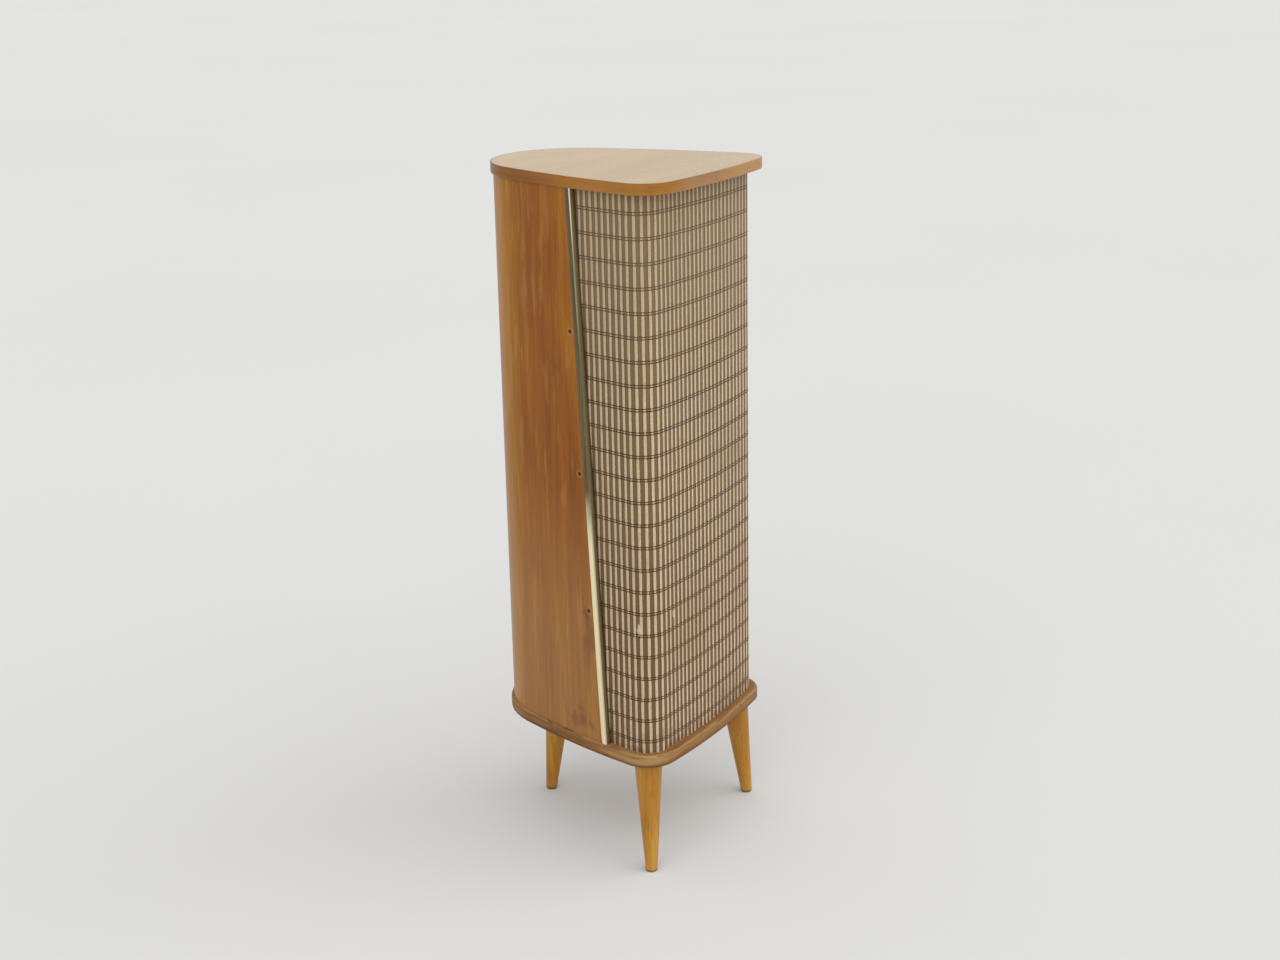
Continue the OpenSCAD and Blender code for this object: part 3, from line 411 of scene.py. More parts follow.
# Materials
def wood(name, tones, grain="Z", kind="Object", figure=12.0, rough=0.34, coat=0.06, level=0.16,
         marks=None, turn=0.0, contrast=1.0):
    """Lacquered veneer or turned wood: broad figure, fine grain and short dark flecks along one axis.
    tones are its dark, middle and light colour. marks adds what one board alone shows: it takes the graph
    and the colour, and gives the colour."""
    g = Graph(name, Coat_Weight=coat, Coat_Roughness=0.14, Specular_IOR_Level=level)

    def along_grain(across, length, *settings):
        scale = [across] * 3
        scale["XYZ".index(grain)] = length
        return g.noise(tuple(scale), *settings, kind=kind, turn=(0, 0, turn))

    dark, middle, light = tones
    cloud = along_grain(figure, figure * 0.45, 3.0, 0.5, 0.3)
    broad = along_grain(figure * 3.0, figure * 0.22, 3.0, 0.5, 0.8)
    fine = along_grain(420.0, 11.0, 4.0, 0.55)
    streak = along_grain(130.0, 3.2, 3.0, 0.5, 0.2)
    figured = g.total((cloud, 0.36), (broad, 0.3), (fine, 0.16), (streak, 0.18))
    spread = 0.13 / contrast
    colour = g.ramp(figured, (0.5 - spread, dark), (0.5, middle), (0.5 + spread, light))
    flecks = g.band(along_grain(800.0, 46.0, 2.0, 0.4), 0.60, 0.72)
    colour = g.tint(colour, flecks, 0.42 * contrast, shade(dark, 0.5))
    if marks is not None:
        colour = marks(g, colour)
    gloss = g.plus(g.times(fine, 0.12), rough - 0.06)
    height = g.minus(g.times(fine, 0.35), flecks)
    return g.out(colour, gloss, g.bump(height, 0.00004, 0.45))


# Marks of the shell, in mm: y and z of its nails, and its dark stains near the left strip, each with y and z
# of its middle, half width and half height
NAILS = [(p.y, p.z) for p in (edge_frame(1) @ Vector((0, NAIL_SET, up)) for up in NAIL_UP)]
STAINS = ((-31.0, 284.0, 6.0, 24.0), (-17.0, 175.0, 6.0, 12.0), (-33.0, 170.0, 4.5, 9.0),
          (-8.0, 166.0, 4.0, 8.0), (-27.0, 306.0, 6.0, 10.0))
BACK_TONE, SIDE_TONE, LOW_TONE = srgb(166, 112, 18), srgb(126, 58, 10), srgb(166, 126, 80)
STAIN, DARK_STREAK, PALE_STREAK = srgb(112, 68, 50), srgb(104, 58, 18), srgb(186, 132, 70)
FILLER, NAIL_RUST = srgb(182, 138, 74), srgb(84, 42, 18)


def shell_marks(g, colour):
    """Yellower round the broad back, redder in the middle of the sides, greyer low down, with a few dark
    stains near the strip and rubbed filler round each nail."""
    x, y, z = g.axes()
    drifting = g.shaken(y, g.noise((14.0, 14.0, 1.6), 3.0), 0.10)
    colour = g.tint(colour, g.band(drifting, 0.055, 0.105), 0.6, BACK_TONE)
    side = g.times(g.band(drifting, -0.03, 0.03), g.band(drifting, 0.09, 0.04))
    colour = g.tint(colour, side, 0.35, SIDE_TONE)
    colour = g.tint(colour, g.band(z, 0.50, 0.24), 0.45, LOW_TONE)
    left = g.band(x, 0.0, -0.01)
    stain_y = g.shaken(y, g.noise((34.0, 34.0, 22.0), 2.0), 0.034)
    stain_z = g.shaken(z, g.noise((27.0, 27.0, 40.0), 2.0, turn=(0.4, 0.2, 0.7)), 0.07)
    for cy, cz, ry, rz in STAINS:
        reach = g.ellipse((stain_y, cy * MM, ry * MM), (stain_z, cz * MM, rz * MM))
        colour = g.tint(colour, g.band(reach, 2.8, 0.0), g.times(left, 0.55), STAIN)
    dark_streak = g.band(g.noise((230.0, 230.0, 7.0), 3.0), 0.48, 0.66)
    colour = g.tint(colour, dark_streak, 0.2, DARK_STREAK)
    pale_streak = g.band(g.noise((90.0, 90.0, 14.0), 3.0), 0.52, 0.7)
    colour = g.tint(colour, pale_streak, 0.3, PALE_STREAK)
    grit = g.noise(500.0, 2.0)
    for cy, cz in NAILS:
        from_nail = g.math("SQRT", g.ellipse((y, cy * MM, MM), (z, cz * MM, MM)))
        from_nail = g.shaken(from_nail, grit, 1.2)
        colour = g.tint(colour, g.band(from_nail, 6.0, 3.6), 0.28, FILLER)
        colour = g.tint(colour, g.band(from_nail, 3.3, 2.0), 0.85, NAIL_RUST)
    return colour


FLOOR_DIRT = srgb(78, 56, 38)


def rubbed_foot(g, colour):
    """The foot's rounded rim is darker from the floor."""
    z = g.axes()[2]
    rim = g.shaken(z, g.noise(220.0, 3.0), 0.005)
    return g.tint(colour, g.band(rim, 0.0045, 0.0015), 0.7, FLOOR_DIRT)


# Painted shade for the left end of the top's edge, and a painted highlight along its front
EDGE_SHADE, EDGE_HIGHLIGHT = srgb(92, 44, 8), srgb(176, 152, 116)


def edge_shade_and_highlight(g, colour):
    """The top's edge has painted shade at the left, towards the back, and a greyer painted highlight along
    the front.
    """
    x, y, _ = g.axes()
    # Painted shade at the left, towards the back
    shaded_end = g.times(g.band(x, -0.02, -0.06), g.band(y, -0.01, 0.05))
    colour = g.tint(colour, shaded_end, 0.3, EDGE_SHADE)
    # Painted highlight along the front
    lit_front = g.times(g.band(x, -0.1, -0.06), g.band(y, -0.12, -0.13))
    return g.tint(colour, lit_front, 0.3, EDGE_HIGHLIGHT)


# The arris's painted highlight broken up by wear, the darker bottom of the edge, and the crack's colour
ARRIS_HIGHLIGHT_AND_WEAR, BASE_BOTTOM_DARK, CRACK = srgb(176, 142, 100), srgb(100, 58, 30), srgb(58, 38, 24)
# The crack: arc length from the middle of the front and height of its middle in m, and how much it leans
CRACK_ARC, CRACK_Z, CRACK_LEAN = 0.055, 0.1475, 1.2


def arris_highlight_and_wear(g, colour):
    """The bullnose of the base has a painted highlight along its top, broken up by wear, is darker below, and
    has a short crack at the right.
    """
    arc, z, _ = g.axes("UV")
    worn = g.noise((38.0, 600.0, 1.0), 3.0, kind="UV")
    # Painted highlight along the top of the arris, broken up by wear
    arris = g.times(g.band(z, 0.1468, 0.1490), g.band(worn, 0.36, 0.56))
    colour = g.tint(colour, arris, 0.5, ARRIS_HIGHLIGHT_AND_WEAR)
    # Darker towards the bottom of the edge
    colour = g.tint(colour, g.band(z, 0.1412, 0.1368), 0.5, BASE_BOTTOM_DARK)
    leaning = g.plus(arc, g.times(z, CRACK_LEAN))
    from_crack = g.apart(leaning, CRACK_ARC + CRACK_Z * CRACK_LEAN)
    crack = g.times(g.band(from_crack, 0.0009, 0.0002), g.band(z, 0.1435, 0.1455))
    return g.tint(colour, crack, 0.7, CRACK)


def metal(name, colour, rough, brushed=(40.0, 40.0, 900.0)):
    """Bare metal with fine lines and a slight cloudy tarnish."""
    g = Graph(name, Metallic=1.0)
    lines = g.noise(brushed, 3.0)
    tarnish = g.band(g.noise(24.0, 4.0), 0.42, 0.7)
    base = g.tint(colour, tarnish, 0.25, shade(colour, 0.6))
    gloss = g.plus(g.times(lines, 0.16), rough - 0.08)
    return g.out(base, gloss, g.bump(lines, 0.00001, 0.25))


# Painted reflections of the strip, bright low down and dark high up, then its painted shade, painted
# highlight and the painted shade of its wall
BRIGHT_REFLECTION_GILT, DARK_REFLECTION_GILT = (srgb(254, 240, 198), srgb(236, 216, 166)), (srgb(84, 76, 54), srgb(108, 98, 70))
SHADED_GILT, GLINT = srgb(140, 124, 88), srgb(244, 236, 214)
WALL_SHADE_GILT, WALL_FOOT_SHADE = srgb(150, 134, 96), srgb(108, 88, 58)
# Heights between which the painted reflection turns from bright to dark, and the painted highlight line
# begins and brightens, in m
DARK_REFLECTION_Z, GLINT_Z, BRIGHT_GLINT_Z = (0.375, 0.463), (0.59, 0.66), (0.725, 0.785)
# Distances across it from the veneer, in m: its painted highlight line, its painted shade, and the wall's top
# and foot
GLINT_AT, SHADE_AT, WALL_AT, WALL_FOOT_AT = 0.0078, (0.0064, 0.0086), (0.0086, 0.0094), (0.0110, 0.0148)


def gilt():
    """Polished brass-coloured strip with painted reflections: bright low down and dark high up, with one
    painted highlight line high up and painted shade across it by the wall. The wall that stands over the
    cloth is dull, with painted shade that is darkest at its foot. UV: across the strip from the veneer, and
    up it."""
    g = Graph("gilt strip", Metallic=1.0)
    across, z, _ = g.axes("UV")
    lines = g.noise((500.0, 500.0, 5.0), 3.0)
    cloud = g.noise((30.0, 30.0, 9.0), 4.0)
    height = g.shaken(z, cloud, 0.12)
    # Painted reflection: bright gilt low down turning to dark gilt high up
    bright = g.tint(BRIGHT_REFLECTION_GILT[0], g.band(cloud, 0.4, 0.7), 0.3, BRIGHT_REFLECTION_GILT[1])
    dark_reflection = g.mix(g.band(lines, 0.35, 0.65), *DARK_REFLECTION_GILT)
    colour = g.tint(bright, g.band(height, *DARK_REFLECTION_Z), 0.97, dark_reflection)
    # Painted shade across the strip next to its wall
    colour = g.tint(colour, g.band(across, *SHADE_AT), 0.5, SHADED_GILT)
    # Painted highlight: a glint line along the strip high up
    line = g.band(g.apart(across, GLINT_AT), 0.0010, 0.0004)
    glint_strength = g.total((g.band(height, *GLINT_Z), 0.3), (g.band(height, *BRIGHT_GLINT_Z), 0.6))
    colour = g.tint(colour, line, glint_strength, GLINT)
    # Painted shade on the wall over the cloth, darkest at its foot
    wall = g.band(across, *WALL_AT)
    colour = g.mix(wall, colour, WALL_SHADE_GILT)
    colour = g.mix(g.band(across, *WALL_FOOT_AT), colour, WALL_FOOT_SHADE)
    gloss = g.plus(g.times(lines, 0.12), g.plus(g.times(wall, 0.5), 0.18))
    return g.out(colour, gloss, g.bump(lines, 0.00001, 0.3))


def plain(name, colour, rough, grain=300.0, vary=0.25, bump=0.00004, **sockets):
    """Moulded, pressed or painted material with a fine surface and slight mottling."""
    g = Graph(name, **sockets)
    fine = g.noise(grain, 4.0)
    cloud = g.noise(30.0, 3.0)
    mottle = g.band(g.total((fine, 0.5), (cloud, 0.5)), 0.35, 0.65)
    base = g.tint(colour, mottle, vary, shade(colour, 0.55))
    gloss = g.plus(g.times(fine, 0.15), rough - 0.07)
    return g.out(base, gloss, g.bump(fine, bump, 0.5))


def woven(name, colour, dark, pitch, rough):
    """Plain weave seen as crossing waves."""
    g = Graph(name, Sheen_Weight=0.2, Sheen_Roughness=0.5)
    x, _, z = g.axes()
    waves = [g.math("SINE", g.times(value, 2 * math.pi / pitch)) for value in (x, z)]
    fuzz = g.noise(700.0, 4.0)
    weave = g.plus(g.times(g.times(*waves), 0.3), g.plus(g.times(fuzz, 0.6), 0.2))
    return g.out(g.mix(weave, dark, colour), rough, g.bump(weave, 0.00015, 0.6))


# The cloth's flat coordinates count ribs and rows of threads: one rib is RIB wide and one row ROW high, in mm
RIB, ROW = 8.57, 26.5
# Half of a rib's cream part, in ribs, and the threads of a pair: distance from its middle and radius, in mm
RIB_HALF, THREAD_OFF, THREAD_R = 0.205, 1.45, 0.5
# Rubbed places of the cloth: rib, row, half width in ribs, half height in rows
RUBS = ((-15.3, 4.28, 0.34, 0.3), (-9.1, 4.66, 0.26, 0.2))
# Distance between the yarns of the ground and between the turns of a thread, in mm
YARN_PITCH, TWIST_PITCH = 1.05, 0.8
CREAM, OLD_CREAM = (srgb(182, 160, 132), srgb(213, 192, 163)), srgb(164, 138, 100)
FRAYED = srgb(216, 198, 170)
GROUND, THREAD = (srgb(98, 76, 46), srgb(142, 117, 79)), (srgb(40, 18, 8), srgb(76, 40, 22))
GROUND_YARN, RIB_CREASE_SHADE, GROUND_LOW = srgb(102, 74, 46), srgb(66, 46, 26), srgb(92, 60, 32)
CLOTH_CLOUD, CLOTH_LOW, CLOTH_HIGH = srgb(112, 88, 52), srgb(128, 64, 30), srgb(140, 120, 92)
CLOTH_DAMP = srgb(96, 58, 32)


def cloth_material():
    """Cream ribs on a brown ground with pairs of dark cross threads, from the flat cloth's coordinates."""
    g = Graph("grille cloth", Sheen_Weight=0.12, Sheen_Roughness=0.5, Specular_IOR_Level=0.2)
    across, up, _ = g.axes("UV")
    u, v = g.times(across, 1 / MM), g.times(up, 1 / MM)
    ribs, rows = g.math("DIVIDE", u, RIB), g.math("DIVIDE", v, ROW)
    from_rib = g.from_nearest(ribs)
    from_row = g.times(g.from_nearest(rows), ROW)
    thread = g.band(g.apart(from_row, THREAD_OFF), THREAD_R + 0.08, THREAD_R - 0.08)
    wiggle = g.noise(320.0, 2.0, kind="UV")
    yarn = g.noise((2600.0, 260.0, 1.0), 4.0, kind="UV")
    slub = g.noise((110.0, 34.0, 1.0), 3.0, kind="UV")
    rib_edge = g.minus(g.shaken(RIB_HALF, wiggle, 0.05), g.times(g.band(from_row, 3.0, 1.4), 0.03))
    rib = g.band(g.minus(from_rib, rib_edge), 0.03, -0.03)
    cream = g.mix(g.band(yarn, 0.3, 0.7), *CREAM)
    cream = g.tint(cream, g.band(slub, 0.5, 0.75), 0.4, OLD_CREAM)
    warp = g.math("SINE", g.times(u, 2 * math.pi / YARN_PITCH))
    low = g.band(v, 330.0, 60.0)
    ground = g.mix(g.band(warp, -0.6, 0.8), *GROUND)
    ground = g.tint(ground, g.band(yarn, 0.35, 0.7), 0.4, GROUND_YARN)
    # Painted shade in the crease of the ground beside each rib
    ground = g.tint(ground, g.band(from_rib, 0.31, 0.25), 0.5, RIB_CREASE_SHADE)
    ground = g.tint(ground, low, 0.4, GROUND_LOW)
    colour = g.mix(rib, ground, cream)
    for n, k, half_w, half_h in RUBS:
        frayed = g.shaken(g.ellipse((ribs, n, half_w), (rows, k, half_h)), wiggle, 3.0)
        frayed = g.shaken(frayed, yarn, 1.0)
        colour = g.tint(colour, g.band(frayed, 1.2, 0.4), 0.8, FRAYED)
    twist = g.math("SINE", g.plus(g.times(u, 2 * math.pi / TWIST_PITCH), g.times(v, 5.0)))
    colour = g.mix(thread, colour, g.mix(g.band(twist, -0.5, 0.8), *THREAD))
    cloud = g.noise((9.0, 9.0, 7.0), 3.0)
    colour = g.tint(colour, g.band(cloud, 0.5, 0.68), 0.16, CLOTH_CLOUD)
    colour = g.tint(colour, low, 0.04, CLOTH_LOW)
    colour = g.tint(colour, g.band(v, 330.0, 560.0), 0.3, CLOTH_HIGH)
    blotch = g.band(g.noise((45.0, 60.0, 1.0), 3.0, kind="UV"), 0.42, 0.62)
    damp = g.times(g.band(v, 10.0, -40.0), blotch)
    colour = g.tint(colour, damp, 0.45, CLOTH_DAMP)
    fibres = g.total((yarn, 0.5), (warp, 0.25))
    gloss = g.plus(g.times(yarn, 0.2), 0.6)
    return g.out(colour, gloss, g.bump(fibres, 0.0002, 0.6))


def felt():
    """Grey wadding of matted fibres."""
    g = Graph("grey wadding", Sheen_Weight=0.4, Sheen_Roughness=0.6)
    lumps = g.noise(60.0, 5.0, 0.6, 1.5)
    fibres = g.noise(520.0, 5.0, 0.7, 0.6)
    fuzz = g.total((lumps, 0.5), (fibres, 0.5))
    colour = g.ramp(fuzz, (0.35, srgb(112, 110, 104)), (0.65, srgb(176, 173, 164)))
    return g.out(colour, 0.95, g.bump(fuzz, 0.0008, 0.7))


SHELL_TONES = (srgb(122, 66, 8), srgb(148, 87, 12), srgb(170, 112, 24))
BAND_TONES = (srgb(122, 72, 24), srgb(148, 94, 32), srgb(170, 120, 54))
BASE_TONES = (srgb(110, 70, 34), srgb(140, 101, 58), srgb(168, 133, 88))
TOP_TONES = (srgb(158, 114, 35), srgb(174, 133, 47), srgb(190, 153, 68))
LEG_TONES = (srgb(148, 97, 27), srgb(171, 118, 38), srgb(190, 141, 58))
PLY_TONES = (srgb(176, 140, 92), srgb(200, 168, 120), srgb(216, 188, 144))

MAT = {
    "shell_veneer": wood("shell veneer", SHELL_TONES, marks=shell_marks),
    "board_edge": wood("top edge band", BAND_TONES, grain="X", kind="UV", figure=10.0, marks=edge_shade_and_highlight),
    "base_edge": wood("base edge", BASE_TONES, grain="X", kind="UV", figure=16.0, rough=0.52, coat=0.0,
                      level=0.1, marks=arris_highlight_and_wear, contrast=1.5),
    "base_face": wood("base face", BASE_TONES, grain="X", rough=0.5, coat=0.0),
    "board_veneer": wood("board face veneer", TOP_TONES, grain="X", turn=0.12, rough=0.27, coat=0.45,
                         level=0.45, contrast=0.6),
    "leg_wood": wood("turned leg", LEG_TONES, figure=22.0, rough=0.3, coat=0.25, marks=rubbed_foot),
    "plywood": wood("raw plywood", PLY_TONES, figure=18.0, rough=0.7, coat=0.0),
    "gilt_trim": gilt(),
    "grille_cloth": cloth_material(),
    "felt": felt(),
    "nail_steel": plain("rusty nail", srgb(62, 36, 18), 0.85, 700.0, 0.4, Specular_IOR_Level=0.1),
    "screw_steel": metal("zinc screw", srgb(178, 180, 184), 0.34),
    "brass": metal("turned brass", srgb(206, 172, 100), 0.28, (900.0, 900.0, 60.0)),
    "insulating_board": plain("phenolic board", srgb(50, 40, 34), 0.45, vary=0.35),
    "red_plastic": plain("red moulding", srgb(150, 34, 28), 0.3, vary=0.15, Coat_Weight=0.2),
    "black_plastic": plain("black moulding", srgb(32, 32, 33), 0.3, vary=0.15, Coat_Weight=0.2),
    "lead_sleeve": plain("lead sleeve", srgb(104, 74, 52), 0.6),
    "capacitor_case": plain("waxed paper", srgb(206, 190, 146), 0.4, 120.0, 0.3),
    "basket_steel": plain("grey lacquered pressing", srgb(116, 122, 126), 0.4, 500.0, 0.2, Metallic=0.3),
    "gasket_cork": plain("card ring", srgb(66, 54, 44), 0.9, 500.0, 0.4, 0.0002),
    "plate_steel": metal("plated steel", srgb(170, 174, 178), 0.32, 500.0),
    "magnet_alloy": metal("cast alloy", srgb(110, 112, 114), 0.6, 400.0),
    "cone_paper": plain("pressed paper", srgb(74, 64, 56), 0.9, 900.0, 0.45, 0.0002),
    "coil_copper": metal("copper winding", srgb(190, 110, 60), 0.35, (60.0, 2600.0, 60.0)),
    "spider_fibre": woven("varnished fibre", srgb(170, 138, 84), srgb(110, 84, 46), 0.0011, 0.55),
    "surround_paper": plain("doped paper", srgb(56, 51, 47), 0.6, 900.0, 0.4, 0.0002),
    "tag_board": plain("hard paper", srgb(112, 68, 40), 0.5, 200.0, 0.3),
    "braid": metal("tinsel braid", srgb(190, 150, 96), 0.45, 1800.0),
}


# Boards
def board(name, plan, levels):
    """A board whose edge follows a profile: levels are pairs of overhang and height, from the bottom up.
    Faces of the edge take the second material; the flat faces the first."""
    ring = plan.closed()
    count = len(ring)
    arcs = [0.0]
    for i in range(1, count):
        arcs.append(arcs[-1] + float(np.linalg.norm(ring[i][0] - ring[i - 1][0])))
    verts, uvs = [], []
    for over, z in levels:
        for arc, (p, normal) in zip(arcs, ring):
            q = p + over * normal
            verts.append((q[0], q[1], z))
            uvs.append((arc * MM, (z + over) * MM))
    faces = grid_faces(len(levels), count, wrap=True)
    sides = len(faces)
    last = (len(levels) - 1) * count
    faces += [tuple(range(count - 1, -1, -1)), tuple(last + i for i in range(count))]
    obj = make_object(name, verts, faces, uvs, smooth=40)
    for i, poly in enumerate(obj.data.polygons):
        poly.material_index = 1 if i < sides else 0
    return obj


def arc_levels(over, z, radius, start, end, steps):
    """Levels round a centre, from one angle in degrees to another."""
    angles = [math.radians(start + (end - start) * i / steps) for i in range(steps + 1)]
    return [(over + radius * math.cos(a), z + radius * math.sin(a)) for a in angles]


# Radius of the top's lower and upper arris, and the flat rim inside each, in mm
SOFT, CRISP = 1.5, 0.7
SOFT_RIM, CRISP_RIM = 1.0, 0.8
top = board("top_board", BOARD,
            [(TOP_OVER - SOFT - SOFT_RIM, Z_HIGH)]
            + arc_levels(TOP_OVER - SOFT, Z_HIGH + SOFT, SOFT, -90, 0, 6)
            + arc_levels(TOP_OVER - CRISP, Z_TOP - CRISP, CRISP, 0, 90, 5)
            + [(TOP_OVER - CRISP - CRISP_RIM, Z_TOP)])
settle(top, [MAT["board_veneer"], MAT["board_edge"]], "board_veneer", "top_plate")


# Bent veneer shell
SHELL_ROWS, SIDE_COLS, BACK_COLS = 24, 16, 40
# How far the cutter of the nail holes goes into the shell and stands out of it, in mm
CUT_IN, CUT_OUT = 9.0, 3.0


def shell():
    """Bent shell between its two slanted edges."""
    verts, uvs = [], []
    for depth in (0.0, SHELL_T):
        for z in shell_heights(SHELL_ROWS):
            reach = back_reach(edge_y(z), SIDE_R)
            right = [reach + (OVER_BACK - reach) * i / SIDE_COLS for i in range(SIDE_COLS)]
            right += [OVER_BACK * (1 - i / BACK_COLS) for i in range(BACK_COLS + 1)]
            for s in right + [-s for s in right[-2::-1]]:
                p, normal = round_back(s)
                q = p - depth * normal
                verts.append((q[0], q[1], z))
                uvs.append((s * MM, z * MM))
    faces = slab_faces(SHELL_ROWS + 1, 2 * (SIDE_COLS + BACK_COLS) + 1)
    return make_object("veneer_shell", verts, faces, uvs, smooth=40)


def nail_cutter():
    """A short cylinder through the shell at each nail."""
    bm = bmesh.new()
    for side in (-1, 1):
        m = edge_frame(side)
        out = (m.to_3x3() @ Vector((1, 0, 0))).normalized()
        turn = out.to_track_quat("Z", "Y").to_matrix().to_4x4()
        for up in NAIL_UP:
            middle = m @ Vector((0, NAIL_SET, up)) + out * (CUT_OUT - CUT_IN) / 2
            bmesh.ops.create_cone(bm, cap_ends=True, segments=24, radius1=NAIL_HOLE_R * MM,
                                  radius2=NAIL_HOLE_R * MM, depth=(CUT_IN + CUT_OUT) * MM,
                                  matrix=Matrix.Translation(middle * MM) @ turn)
    return add_object("nail_cutter", mesh_of(bm, "nail_cutter"))


def cut(obj, cutter):
    """Boolean difference, applied to the mesh; the cutter is removed."""
    mod = obj.modifiers.new("cut", "BOOLEAN")
    mod.operation = "DIFFERENCE"
    mod.solver = "EXACT"
    mod.object = cutter
    deps = bpy.context.evaluated_depsgraph_get()
    mesh = bpy.data.meshes.new_from_object(obj.evaluated_get(deps))
    obj.modifiers.clear()
    obj.data = mesh
    bpy.data.objects.remove(cutter)
    return obj


veneer = cut(shell(), nail_cutter())
finish_mesh(veneer.data, smooth=35)
settle(veneer, [MAT["shell_veneer"]], "shell_veneer", "side_shell")


# Gilt strips
STRIP_ROWS, BOW_STEPS = 12, 20
# Rounding of the strip's two long arrises, in mm
STRIP_EASE = 0.35


def strip(name, side):
    """Bowed strip that fills the step between the shell's edge and the cloth, cut flat at both ends."""
    m = edge_frame(side)
    up = m.to_3x3() @ Vector((0, 0, 1))
    bow_r = (TRIM_W ** 2 / 4 + TRIM_RISE ** 2) / (2 * TRIM_RISE)
    half = math.asin(TRIM_W / 2 / bow_r)
    angles = [-half + 2 * half * i / BOW_STEPS for i in range(BOW_STEPS + 1)]
    bow = [(TRIM_RISE - bow_r + bow_r * math.cos(a), -TRIM_W / 2 + bow_r * math.sin(a)) for a in angles]
    (x0, y0), (x1, y1) = bow[0], bow[-1]
    profile = [(-SHELL_T, 0.0), (-SHELL_T, -TRIM_W), (-STRIP_EASE, y0), (x0, y0 + STRIP_EASE / 2)]
    profile += bow[1:-1] + [(x1, y1 - STRIP_EASE / 2), (-STRIP_EASE, y1)]
    verts, uvs = [], []
    for z in shell_heights(STRIP_ROWS):
        for x, y in profile:
            base = m @ Vector((x, y, 0))
            verts.append(tuple(base + up * ((z - base.z) / up.z)))
            down_wall = -min(x, 0.0) if y < -TRIM_W / 2 else 0.0
            uvs.append(((down_wall - y) * MM, z * MM))
    count = len(profile)
    flip = side < 0
    faces = grid_faces(STRIP_ROWS + 1, count, wrap=True, flip=flip)
    ends = [tuple(range(count - 1, -1, -1)), tuple(STRIP_ROWS * count + i for i in range(count))]
    faces += [end[::-1] if flip else end for end in ends]
    return make_object(name, verts, faces, uvs, smooth=30)


settle(strip("left_strip", -1), [MAT["gilt_trim"]], "gilt_trim", "left_trim")
settle(strip("right_strip", 1), [MAT["gilt_trim"]], "gilt_trim", "right_trim")


# Grille cloth
CLOTH_FACE = -SHELL_T - GAP
# Arc lengths of the cloth over half of the front and over a corner
FRONT_RUN = (FRONT_R + CLOTH_FACE) * (BODY.front_end + math.pi / 2)
CORNER_RUN = (CORNER_R + CLOTH_FACE) * (BODY.corner_end - BODY.front_end)
# Ribs and rows of threads before the cloth is cut, and the two ribs between which it lies on the front
RIBS, ROWS, FRONT_RIBS = range(-31, 32), range(-3, 25), (-11, 9)
# A rib's section: place in ribs from its middle, and share of its rise
RIB_PROFILE = ((-0.5, 0.0), (-0.36, 0.03), (-0.265, 0.10), (-0.23, 0.42), (-0.18, 0.74), (-0.1, 0.95),
               (0.0, 1.0), (0.1, 0.95), (0.18, 0.74), (0.23, 0.42), (0.265, 0.10), (0.36, 0.03))
# Places of points above and below the middle of a pair of threads, in mm
ROW_PLACES = (0.75, 0.95, 1.35, 1.75, 1.95, 2.5, 3.6, 7.0, 11.0)
# Depth of the ground under the cloth's face, rise of the ribs and the threads, and reach of a pinch, in mm
GROUND_DEPTH, RIB_RISE, THREAD_RISE, PINCH_REACH = 1.33, 0.95, 0.32, 2.7
# How much of its width and of its rise a rib loses where it is pinched
PINCH_WIDTH, PINCH_RISE = 0.16, 0.3
# Shortest share of a rib's rise between two rows, and how far it leans there, in ribs
RIB_SHORT, RIB_LEAN = 0.84, 0.05
# Points nearer than this to the cloth's two ends are left out, in mm
END_CLEAR = 0.4
# Half length of the table of places along the cloth in mm, and its points for each mm
TABLE_REACH, TABLE_FINE = 310, 10


def rib_place(n):
    """Arc length of rib n along the cloth; the weave is a little denser on the sides than on the front."""
    def on_front(k):
        return -4.2 + 8.66 * k + 0.06 * k * k

    a, b = FRONT_RIBS
    beyond = np.where(n > b, on_front(b) + (n - b) * RIB, on_front(n))
    return np.where(n < a, on_front(a) + (n - a) * RIB, beyond)


def row_place(k):
    """Height of thread pair k."""
    return 190.0 + 25.91 * k + 0.029 * k * k


def trail(u):
    """Point on the veneer line and outward normal at arc length u of the cloth from the front's middle."""
    v = abs(u)
    if v <= FRONT_RUN:
        centre, radius, a = BODY.front, FRONT_R, -math.pi / 2 + v / (FRONT_R + CLOTH_FACE)
    elif v <= FRONT_RUN + CORNER_RUN:
        centre, radius, a = BODY.corner, CORNER_R, BODY.front_end + (v - FRONT_RUN) / (CORNER_R + CLOTH_FACE)
    else:
        past = v - FRONT_RUN - CORNER_RUN
        centre, radius, a = BODY.side, SIDE_R, BODY.corner_end + past / (SIDE_R + CLOTH_FACE)
    normal = np.array([math.cos(a), math.sin(a)])
    point = centre + radius * normal
    return (point, normal) if u >= 0 else (mirrored(point), mirrored(normal))


def cloth_rows():
    """Flat heights and real heights of the rows of points, closer together where the threads are."""
    numbers = np.linspace(ROWS[0] - 1, ROWS[-1] + 2, 3001)
    low, high = np.interp([Z_LOW, Z_HIGH], row_place(numbers), numbers) * ROW
    steps = [-d for d in ROW_PLACES[::-1]] + [0.0] + list(ROW_PLACES)
    inner = [k * ROW + d for k in ROWS for d in steps]
    flat = np.array([low] + [v for v in inner if low + END_CLEAR < v < high - END_CLEAR] + [high])
    z = row_place(flat / ROW)
    z[0], z[-1] = Z_LOW, Z_HIGH
    return flat, z


